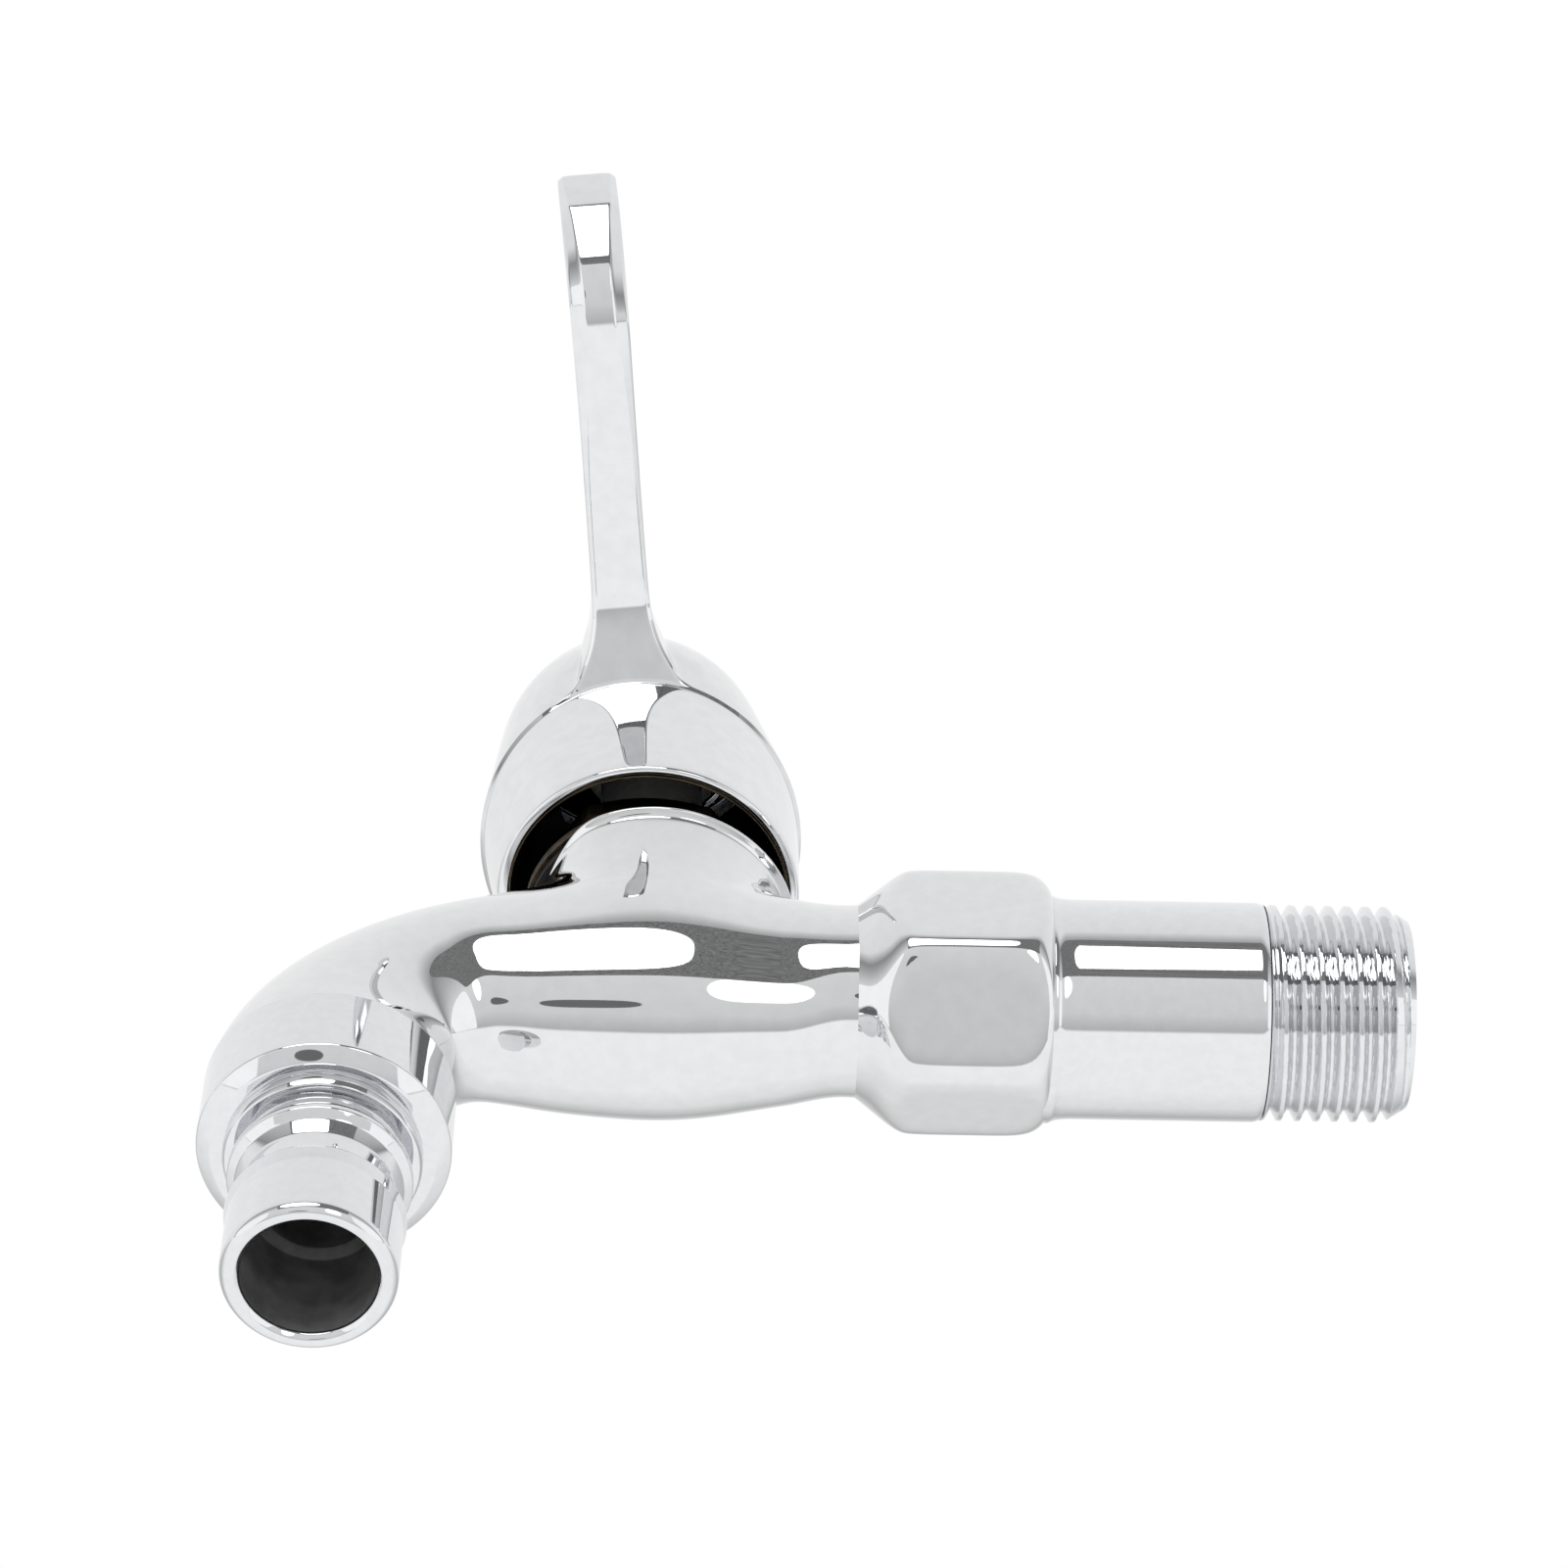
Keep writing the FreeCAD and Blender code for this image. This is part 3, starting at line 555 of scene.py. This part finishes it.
def makeCasting():
    body = loft("castBarrelAndSpout", barrelRings() + elbowRings())
    bpy.ops.object.mode_set(mode="EDIT")
    selectWhere(body, "FACE", inNeckHole)
    bpy.ops.mesh.delete(type="FACE")
    bpy.ops.object.mode_set(mode="OBJECT")
    neck = loft("castNeck", neckRings())
    deselectAll()
    neck.select_set(True)
    body.select_set(True)
    bpy.context.view_layer.objects.active = body
    bpy.ops.object.join()
    bpy.ops.object.mode_set(mode="EDIT")
    joint = treeOf(holeRing() + neckRings()[0])
    selectWhere(body, "EDGE", lambda edge: edge.is_boundary and liesOn(joint, edge))
    bpy.ops.mesh.bridge_edge_loops()
    bpy.ops.mesh.select_all(action="SELECT")
    bpy.ops.mesh.normals_make_consistent(inside=False)
    bpy.ops.object.mode_set(mode="OBJECT")
    applyModifier(body, "SUBSURF", levels=3, render_levels=3)
    polishBarrel(body)
    finishShape(body, 50, weighted=False)
    return body


castBody = makeCasting()
dress(castBody, chromeCast, "body", "tap_body")
print("casting done", len(castBody.data.polygons))


# spanner hexagon with pillowed faces and rounded corners

spanner = {
    # station x, the largest radius that the turned ends leave there
    "stations": [(-39.6, 9.3), (-39.0, 9.72), (-38.2, 10.36), (-37.4, 11.0), (-36.6, 11.63), (-35.8, 12.26),
                 (-35.0, 12.9), (-34.4, 13.3), (-33.0, 14.0), (-30.0, 14.0), (-27.0, 14.0), (-24.5, 14.0),
                 (-23.4, 13.1), (-22.6, 12.75), (-21.9, 12.3), (-21.3, 11.75), (-20.95, 11.2), (-20.8, 10.9),
                 (-20.8, 10.4)],
    "halfFlats": 11.55,
    # the higher, the sharper: corners of the hexagon, and the edge where the turned ends cut them
    "corner": 20,
    "endEdge": 40,
    "segments": 144,
}


def spannerRadius(angle, limit):
    # a rounded hexagon, with the turned ends smoothly cutting its corners
    power = spanner["corner"]
    total = 0.0
    for side in range(6):
        facing = math.cos(angle - math.radians(60 * side))
        if facing > 0:
            total += facing ** power
    hexRadius = spanner["halfFlats"] / total ** (1 / power)
    sharp = spanner["endEdge"]
    return (hexRadius ** -sharp + limit ** -sharp) ** (-1 / sharp)


def makeSpanner():
    rings = []
    for x, limit in spanner["stations"]:
        ring = []
        for angle in evenAngles(spanner["segments"]):
            radius = spannerRadius(angle, limit)
            ring.append((x, castShift[0] + radius * math.cos(angle), castShift[1] + radius * math.sin(angle)))
        rings.append(ring)
    piece = loft("spannerHexagon", rings)
    applyModifier(piece, "SUBSURF", levels=1, render_levels=1)
    bridgeOpenRings(piece)
    finishShape(piece, 30, weighted=False)
    return piece


spannerHexagon = makeSpanner()
dress(spannerHexagon, chromeCast, "body", "tap_body")
print("hexagon done")


# plain tail, and the male thread with its run-out and chamfered end

inlet = {
    "tail": [(7.25, -34.0, 0), (11.1, -34.0, 0), (11.1, -20.8, 0), (10.78, -20.1, 0.4), (10.65, -19.0, 0.7),
             (10.65, -0.75, 0.4), (10.35, -0.05, 0.2), (7.25, -0.05, 0)],
    "tailSegments": 128,
    "threadRadius": 10.4775,
    "pitch": 1.814,
    "depth": 1.05,
    # shares of half a pitch that the valley and the flank take
    "valley": 0.16,
    "flank": 0.62,
    "runIn": 0.8,
    "threadStart": -0.1,
    "threadEnd": 13.8,
    "chamfer": 2.1,
    "chamferSlope": 0.62,
    # radius and x, from the end face over its rounded edge into the bore
    "mouth": [(8.6, 13.8), (7.75, 13.8), (7.45, 13.7), (7.25, 13.4), (7.25, -33.0)],
    "segments": 160,
    "rows": 230,
    # faces inside this radius and up to this x are the wall of the bore
    "wallRadius": 7.35,
    "wallEnd": 13.3,
}


def threadRadius(x, angle):
    # rounded ridges that climb one pitch a turn
    phase = (x / inlet["pitch"] - angle / (2 * math.pi)) % 1.0
    ridge = clamp((abs(2 * phase - 1) - inlet["valley"]) / inlet["flank"])
    fadeIn = clamp((x - inlet["threadStart"]) / inlet["runIn"])
    radius = inlet["threadRadius"] - inlet["depth"] * (1 - ridge) * fadeIn
    left = max(0.0, inlet["threadEnd"] - x)
    return min(radius, inlet["threadRadius"] + (left - inlet["chamfer"]) * inlet["chamferSlope"])


def ringOnInlet(x, radii, angles):
    return [(x, radius * math.cos(angle), radius * math.sin(angle)) for radius, angle in zip(radii, angles)]


def makeThread():
    angles = evenAngles(inlet["segments"])
    start = inlet["threadStart"]
    length = inlet["threadEnd"] - start
    rings = []
    for row in range(inlet["rows"] + 1):
        x = start + length * row / inlet["rows"]
        rings.append(ringOnInlet(x, [threadRadius(x, angle) for angle in angles], angles))
    for radius, x in inlet["mouth"]:
        rings.append(ringOnInlet(x, [radius] * len(angles), angles))
    piece = loft("pipeThread", rings)
    finishShape(piece, 35, weighted=False)
    return piece


def isInletWall(spot, normal):
    return math.hypot(spot.y, spot.z) < inlet["wallRadius"] and spot.x < inlet["wallEnd"]


inletTail = turned("inletTail", inlet["tail"], 0, inlet["tailSegments"], onX=True)
dress(inletTail, chromeTurned, "body", "tap_body")
pipeThread = makeThread()
dress(pipeThread, chromeTurned, "body", "tap_body")
paintFaces(pipeThread, darkBore, isInletWall)
print("inlet done")


# turned collar of the spout

collar = {
    "outline": [(8.3, -26.8, 0), (10.45, -26.8, 0.18), (11.885, -25.7, 0.18), (11.885, -17.0, 0.3), (9.5, -17.0, 0)],
    "segments": 256,
}
spoutCollar = turned("spoutCollar", collar["outline"], outletX, collar["segments"])
dress(spoutCollar, chromeTurned, "body", "tap_body")
print("collar done")


# hose nipple with locking ring, ball groove, shoulder and smooth land

nipple = {
    "outside": [(8.2, -25.5, 0), (8.2, -26.83, 0), (9.3, -26.83, 0.08), (9.3, -27.6, 0.15), (9.0, -28.1, 0.12),
                (7.6, -28.1, 0.15), (7.6, -30.2, 0.15), (8.6, -30.2, 0.12), (8.6, -31.1, 0.15), (7.8, -31.75, 0.15),
                (7.1, -33.0, 0.2), (7.1, -35.3, 0.2), (8.4, -36.9, 0.18), (8.1, -38.3, 0.15), (8.1, -45.3, 0.45),
                (7.45, -46.0, 0.3), (6.75, -46.0, 0.2)],
    "inside": [(6.26, -45.5, 0.2), (6.26, -34.5, 0.1), (5.4, -33.7, 0.1), (5.4, -19.5, 0), (7.0, -19.5, 0)],
    "segments": 256,
    # faces inside this radius and above this height are the wall of the bore
    "wallRadius": 6.35,
    "wallEnd": -45.2,
}


def isNippleWall(spot, normal):
    return math.hypot(spot.x - outletX, spot.y) < nipple["wallRadius"] and spot.z > nipple["wallEnd"]


hoseNipple = turned("hoseNipple", nipple["outside"] + nipple["inside"], outletX, nipple["segments"])
dress(hoseNipple, chromeTurned, "body", "hose_nipple")
paintFaces(hoseNipple, darkBore, isNippleWall)
print("nipple done")


# handle: skirt, ridge, dome and lever in one cage

handleShape = {
    "turn": -4.0,
    "lean": -4.8,
    "lipZ": 18.8,
    # radius and height, down the inside from the hub and round the lip
    "skirt": [(9.6, 38.5), (12.9, 24.0), (13.75, 20.1), (13.75, 19.25), (14.0, 18.9), (14.5, 18.8), (15.05, 18.92),
              (15.25, 19.3)],
    "skirtShares": (0.12, 0.5, 0.94),
    # tilted rings: y, z, tilt in degrees, radius
    "ridge": (0.0, 29.8, 27.0, 16.45),
    "domeRim": (-1.943, 43.62, -8.0, 13.8),
    "domeShares": (0.07, 0.36, 0.7),
    # the skirt ends a step inside the ridge, which sinks at the sides and back more than in front
    "ridgeStep": 0.3,
    "ridgeSink": 0.5,
    "frontRelief": 0.8,
    # the dome's round shoulder: y, z, radius, and how far below the top it ends
    "ball": (-1.614, 41.29, 14.0),
    "ballEnd": 0.2,
    "topZ": 48.5,
    # radius and height of the seat of the cap
    "capRim": (7.85, 48.5),
    "capSeat": [(7.8, 48.5), (7.55, 48.3), (7.55, 45.9), (1.0, 45.8)],
    "capRadius": 7.55,
    "flatShare": 0.05,
    "angles": [0, 9.5, 19, 30, 42, 54, 67, 80, 93, 106, 119, 131, 143, 155, 167.5, 180],
    # lever stations: underside y z, top y z, half width low and high, bevel
    "lever": [
        ((-15.4, 37.66), (-14.9, 46.9), 4.75, 4.1, 0.38),
        ((-16.5, 38.24), (-16.4, 46.68), 4.1, 3.6, 0.38),
        ((-17.9, 38.98), (-17.9, 46.5), 3.5, 3.2, 0.4),
        ((-19.8, 39.97), (-19.8, 46.3), 3.06, 3.0, 0.42),
        ((-21.3, 40.62), (-21.3, 46.15), 2.92, 2.92, 0.42),
        ((-22.6, 40.95), (-22.6, 46.05), 2.88, 2.88, 0.42),
        ((-26, 41.4), (-26, 45.9), 2.85, 2.85, 0.42),
        ((-32, 41.75), (-31.5, 45.9), 2.82, 2.82, 0.44),
        ((-38.5, 42.0), (-37.5, 46.1), 2.8, 2.8, 0.55),
        ((-44.5, 42.3), (-43, 46.45), 2.82, 2.82, 0.95),
        ((-49.2, 42.75), (-46.8, 47.1), 2.86, 2.86, 1.35),
        ((-53.2, 43.9), (-50.2, 48.2), 2.9, 2.9, 1.55),
        ((-56.2, 46.05), (-52.9, 49.8), 2.92, 2.92, 1.5),
        ((-58.5, 48.9), (-54.9, 51.9), 2.95, 2.95, 1.3),
        ((-60.05, 51.95), (-56.2, 53.9), 2.95, 2.95, 1.05),
        ((-60.45, 52.85), (-56.8, 54.6), 2.95, 2.95, 0.9),
        ((-61.0, 55.6), (-57.4, 56.6), 2.95, 2.95, 0.65),
        ((-61.3, 57.7), (-57.8, 58.0), 2.93, 2.93, 0.5),
        ((-61.3, 58.15), (-57.9, 58.25), 2.86, 2.86, 0.5),
    ],
    # points up the side of the lever: share of its flare, share of its height above the bevel
    "sidePoints": [(0.3, 0.3), (0.75, 0.68)],
    "bevelRise": 0.9,
    "topRounding": 0.9,
    "topCrown": (0.05, 0.07),
    "endShares": (0.12, 0.4),
    "creasedStation": 15,
    "creases": {"ridge": 1.0, "underRidge": 0.9, "leverEnd": 0.8, "leverEdges": 0.92},
    # faces that look inwards within this radius and these heights, and hardly upwards, are the inside of the skirt,
    # which gets the painted shade
    "insideRadius": 13.85,
    "insideSpan": (19.2, 40),
    "insideSlope": 0.3,
}


def ringAngles():
    half = handleShape["angles"]
    return [math.radians(a) for a in half] + [math.radians(-a) for a in reversed(half[1:-1])]


def lean(spot):
    # the cast upper form leans sideways about the middle of the lip
    turn = math.radians(handleShape["lean"])
    lipZ = handleShape["lipZ"]
    x, y, z = spot
    rise = z - lipZ
    return (x * math.cos(turn) + rise * math.sin(turn), y, lipZ - x * math.sin(turn) + rise * math.cos(turn))


def levelRing(radius, z):
    return [(radius * math.sin(a), -radius * math.cos(a), z) for a in ringAngles()]


def tiltedRing(y, z, tilt, radius, sink=0.0):
    tilt = math.radians(tilt)
    ring = []
    for a in ringAngles():
        forward = radius * math.cos(a)
        down = sink * (1 - handleShape["frontRelief"] * max(0.0, math.cos(a)) ** 4)
        ring.append((radius * math.sin(a), y - forward * math.cos(tilt), z + forward * math.sin(tilt) - down))
    return ring


def between(low, high, share):
    return [tuple(l + share * (h - l) for l, h in zip(a, b)) for a, b in zip(low, high)]


def domeRings():
    # from the ridge up to the shoulder and on to the flat top
    ridge = tiltedRing(*handleShape["ridge"])
    rim = tiltedRing(*handleShape["domeRim"])
    ballY, ballZ, ballRadius = handleShape["ball"]
    centre = Vector((0, ballY, ballZ))
    height = handleShape["topZ"] - ballZ - handleShape["ballEnd"]
    out = math.sqrt(ballRadius ** 2 - height ** 2)
    topRing = [(out * math.sin(a), ballY - out * math.cos(a), ballZ + height) for a in ringAngles()]
    middle = []
    for low, high in zip(rim, topRing):
        direction = (Vector(low) - centre).normalized() + (Vector(high) - centre).normalized()
        middle.append(tuple(centre + direction.normalized() * ballRadius))
    rise = [between(ridge, rim, share) for share in handleShape["domeShares"]]
    return [[lean(spot) for spot in ring] for ring in [ridge] + rise + [rim, middle, topRing]]


def skirtRings():
    y, z, tilt, radius = handleShape["ridge"]
    sunk = tiltedRing(y, z, tilt, radius - handleShape["ridgeStep"], handleShape["ridgeSink"])
    under = [lean(spot) for spot in sunk]
    rings = [levelRing(*level) for level in handleShape["skirt"]]
    return rings + [between(rings[-1], under, share) for share in handleShape["skirtShares"]] + [under]


def topRings(edge):
    topZ = handleShape["topZ"]
    flat = [(x, y, topZ) for x, y, z in
            between(edge, levelRing(handleShape["capRadius"], topZ), handleShape["flatShare"])]
    return [flat, between(flat, levelRing(*handleShape["capRim"]), 0.5)] + \
        [levelRing(*level) for level in handleShape["capSeat"]]


def leverRing(low, high, halfLow, halfHigh, bevel):
    # 18 points across the lever: five below, four up each side, five on top
    low = Vector((0, low[0], low[1]))
    high = Vector((0, high[0], high[1]))
    height = (high - low).length
    up = (high - low).normalized()
    flat = halfLow - bevel
    topFlat = halfHigh - handleShape["topRounding"]
    sideCrown, middleCrown = handleShape["topCrown"]
    half = [(0, 0), (flat / 2, 0), (flat, 0), (halfLow, bevel * handleShape["bevelRise"])]
    for out, rise in handleShape["sidePoints"]:
        half.append((halfLow + out * (halfHigh - halfLow), bevel + rise * (height - bevel)))
    half += [(halfHigh, height - handleShape["topRounding"]), (topFlat, height), (topFlat / 2, height + sideCrown),
             (0, height + middleCrown)]
    other = [(-across, rise) for across, rise in reversed(half[1:-1])]
    return [tuple(low + Vector((across, 0, 0)) + up * rise) for across, rise in half + other]


def rootRing(rings):
    # the same 18 points on the dome, from the ridge up to the highest ring but one
    bottom, top = rings[0], rings[5]
    right = [rings[level][2] for level in (1, 2, 3, 4)]
    left = [rings[level][-2] for level in (4, 3, 2, 1)]
    return bottom[:3] + right + [top[2], top[1], top[0], top[-1], top[-2]] + left + bottom[-2:]


def place(ring):
    # from the upright handle to where it rests in the frame
    turn = math.radians(handleShape["turn"])
    return [(valveX + x * math.cos(turn) - y * math.sin(turn), x * math.sin(turn) + y * math.cos(turn), z)
            for x, y, z in ring]


def growLever(piece, root):
    # the open edge on the dome is extruded along the stations and closed at the end
    rootTree = treeOf(root)
    selectWhere(piece, "EDGE", lambda edge: edge.is_boundary and liesOn(rootTree, edge))
    rings = [root]
    for station in handleShape["lever"]:
        rings.append(place([lean(spot) for spot in leverRing(*station)]))
        extrudeTo(piece, rings[-2], rings[-1])
    last = rings[-1]
    centre = sum((Vector(spot) for spot in last), Vector()) / len(last)
    for share in handleShape["endShares"]:
        inner = [tuple(Vector(spot) * (1 - share) + centre * share) for spot in last]
        extrudeTo(piece, last, inner)
        last = inner
    bpy.ops.mesh.edge_face_add()
    return rings


def makeHandle():
    dome = domeRings()
    skirt = skirtRings()
    placed = [place(ring) for ring in skirt + dome + topRings(dome[-1])]
    piece = loft("handleShell", placed)
    ridge = len(skirt)
    front = treeOf([ring[index] for ring in placed[ridge:ridge + 6] for index in (-2, -1, 0, 1, 2)])
    bpy.ops.object.mode_set(mode="EDIT")
    selectWhere(piece, "FACE", lambda face: liesOn(front, face))
    bpy.ops.mesh.delete(type="FACE")
    leverRings = growLever(piece, place(rootRing(dome)))
    bpy.ops.object.mode_set(mode="OBJECT")
    creases = handleShape["creases"]
    creaseRing(piece, placed[ridge], creases["ridge"])
    creaseRing(piece, placed[ridge - 1], creases["underRidge"])
    edgeRing = leverRings[handleShape["creasedStation"] + 1]
    creaseRing(piece, [edgeRing[index] for index in (-3, -2, -1, 0, 1, 2, 3)], creases["leverEnd"], closed=False)
    for index in (2, 3, -2, -3):
        creaseRing(piece, [ring[index] for ring in leverRings], creases["leverEdges"], closed=False)
    applyModifier(piece, "SUBSURF", levels=3, render_levels=3)
    finishShape(piece, 32, weighted=False)
    return piece


def isInsideSkirt(spot, normal):
    low, high = handleShape["insideSpan"]
    across = spot.x - valveX
    inwards = across * normal.x + spot.y * normal.y < 0 and normal.z < handleShape["insideSlope"]
    return inwards and low < spot.z < high and math.hypot(across, spot.y) < handleShape["insideRadius"]


handleShell = makeHandle()
dress(handleShell, chromeHandle, "lever_handle", "handle")
# the inside of the skirt gets a nearly black painted shade
paintFaces(handleShell, paintedShadeInsideSkirt, isInsideSkirt)
print("handle done")


# studio

studio = {
    "floorZ": -1.0,
    "floorSize": 8.0,
    "gain": 1.36,
    # angle round the inlet axis (0 towards the lever's side, 90 above, -90 below), level
    "bands": [(-180, 0.68), (-150, 0.8), (-80, 0.82), (-77.5, 0.42), (-60, 0.58), (-21, 0.63), (18, 0.24), (25, 0.42),
              (33, 0.66), (40, 0.68), (50, 0.7), (65, 0.72), (90, 0.74), (121, 0.71), (155, 0.4), (180, 0.68)],
    # rounded patches, each over the ones before it: middle and half width of that angle and of the one along
    # the inlet axis, level, squareness of the corners
    "patches": [
        ("ceilingEndLow", -49, 29, -62, 20, 0.87, 12),
        ("ceilingEndHigh", -49, 29, 62, 20, 0.87, 12),
        ("sidePanel", -32, 13, 22, 8, 1.4, 2),
        ("frame", 0, 21.5, 3, 37, 0.16, 10),
        ("softbox", 0.3, 16.3, -11, 20.5, 2.3, 2.8),
        ("cameraSide", -50, 4.0, -11, 8.5, 0.13, 2.2),
    ],
    "grainy": ("frame",),
    "grainScale": 90.0,
}


def makeFloor():
    # pale floor far below, left out of reflections so that metal shows the studio
    deselectAll()
    bpy.ops.mesh.primitive_plane_add(size=studio["floorSize"], location=(0, 0, studio["floorZ"]))
    floor = bpy.context.object
    floor.name = "floor"
    material, tree = newMaterial("paleFloor")
    where = addNode(tree, "ShaderNodeTexCoord")
    clouds = addNode(tree, "ShaderNodeTexNoise", {"Scale": 3.0}, {"Vector": (where, "Object")})
    tone = addNode(tree, "ShaderNodeValToRGB", links={"Fac": (clouds, "Fac")})
    tone.color_ramp.elements[0].color = linear("e9e9e9")
    tone.color_ramp.elements[1].color = linear("efefef")
    matt = addNode(tree, "ShaderNodeBsdfDiffuse", links={"Color": (tone, "Color")})
    clear = addNode(tree, "ShaderNodeBsdfTransparent")
    path = addNode(tree, "ShaderNodeLightPath")
    mix = addNode(tree, "ShaderNodeMixShader", links={
        "Fac": (path, "Is Glossy Ray"), 1: (matt, "BSDF"), 2: (clear, "BSDF")})
    addNode(tree, "ShaderNodeOutputMaterial", links={"Surface": (mix, "Shader")})
    floor.data.materials.append(material)


def maths(tree, operation, first, second=None):
    # one step of arithmetic; values or outputs may be given
    node = addNode(tree, "ShaderNodeMath", {"operation": operation})
    for index, value in enumerate((first, second)):
        if isinstance(value, bpy.types.NodeSocket):
            tree.links.new(value, node.inputs[index])
        elif value is not None:
            node.inputs[index].default_value = value
    return node.outputs["Value"]


def within(tree, source, middle, half, squareness):
    # 0 in the middle of a patch and 1 at its edge
    away = maths(tree, "DIVIDE", maths(tree, "SUBTRACT", source, middle), half)
    return maths(tree, "POWER", maths(tree, "ABSOLUTE", away), squareness)


def makeWorld():
    world = bpy.data.worlds.new("studio")
    bpy.context.scene.world = world
    world.use_nodes = True
    tree = world.node_tree
    tree.nodes.clear()
    where = addNode(tree, "ShaderNodeTexCoord")
    axes = addNode(tree, "ShaderNodeSeparateXYZ", links={"Vector": (where, "Generated")})
    forward = maths(tree, "MULTIPLY", axes.outputs["Y"], -1.0)
    around = maths(tree, "DEGREES", maths(tree, "ARCTAN2", axes.outputs["Z"], forward))
    along = maths(tree, "DEGREES", maths(tree, "ARCSINE", axes.outputs["X"]))
    share = addNode(tree, "ShaderNodeMapRange", {"From Min": -180.0, "From Max": 180.0})
    tree.links.new(around, share.inputs["Value"])
    ramp = addNode(tree, "ShaderNodeValToRGB", links={"Fac": (share, "Result")})
    elements = ramp.color_ramp.elements
    while len(elements) > 1:
        elements.remove(elements[-1])
    for step, (degrees, level) in enumerate(studio["bands"]):
        at = (degrees + 180) / 360
        element = elements[0] if step == 0 else elements.new(at)
        element.position = at
        element.color = (level, level, level, 1)
    speckle = addNode(tree, "ShaderNodeTexNoise", {"Scale": studio["grainScale"], "Detail": 2.0},
                      {"Vector": (where, "Generated")})
    # the noise averages one half, so it is doubled
    grain = maths(tree, "MULTIPLY", speckle.outputs["Fac"], 2.0)
    colour = ramp.outputs["Color"]
    for name, middle, half, alongMiddle, alongHalf, level, squareness in studio["patches"]:
        first = within(tree, around, middle, half, squareness)
        second = within(tree, along, alongMiddle, alongHalf, squareness)
        mask = maths(tree, "LESS_THAN", maths(tree, "ADD", first, second), 1.0)
        # the colour sockets of this node go by number
        mix = addNode(tree, "ShaderNodeMix", {"data_type": "RGBA", "label": name})
        factor, under, over, result = mix.inputs[0], mix.inputs[6], mix.inputs[7], mix.outputs[2]
        tree.links.new(mask, factor)
        tree.links.new(colour, under)
        if name in studio["grainy"]:
            tree.links.new(maths(tree, "MULTIPLY", grain, level), over)
        else:
            over.default_value = (level, level, level, 1)
        colour = result
    path = addNode(tree, "ShaderNodeLightPath")
    pattern = addNode(tree, "ShaderNodeBackground", {"Strength": studio["gain"]})
    tree.links.new(colour, pattern.inputs["Color"])
    white = addNode(tree, "ShaderNodeBackground", {"Color": (1, 1, 1, 1), "Strength": 1.0})
    mix = addNode(tree, "ShaderNodeMixShader", links={
        "Fac": (path, "Is Camera Ray"), 1: (pattern, "Background"), 2: (white, "Background")})
    addNode(tree, "ShaderNodeOutputWorld", links={"Surface": (mix, "Shader")})


# camera, fitted to the photograph

camera = {
    "azimuth": 1.75,
    "elevation": 58.7,
    "roll": -0.45,
    "distance": 520 * mm,
    "across": -46.47 * mm,
    "upwards": 22.2 * mm,
    "lens": 122.9,
}


def makeCamera():
    azimuth = math.radians(camera["azimuth"])
    elevation = math.radians(camera["elevation"])
    roll = math.radians(camera["roll"])
    look = Vector((math.sin(azimuth) * math.cos(elevation), math.cos(azimuth) * math.cos(elevation),
                   math.sin(elevation)))
    level = Vector((math.cos(azimuth), -math.sin(azimuth), 0))
    above = level.cross(look)
    right = level * math.cos(roll) + above * math.sin(roll)
    upward = above * math.cos(roll) - level * math.sin(roll)
    data = bpy.data.cameras.new("camera")
    data.lens = camera["lens"]
    data.sensor_width = 36
    data.clip_start = 0.01
    data.clip_end = 50
    eye = bpy.data.objects.new("camera", data)
    bpy.context.scene.collection.objects.link(eye)
    eye.location = right * camera["across"] + upward * camera["upwards"] - look * camera["distance"]
    turn = Matrix((right, upward, -look)).transposed()
    eye.rotation_euler = turn.to_euler()
    bpy.context.scene.camera = eye


makeFloor()
makeWorld()
makeCamera()
bpy.context.scene.view_settings.view_transform = "Standard"
print("studio done")
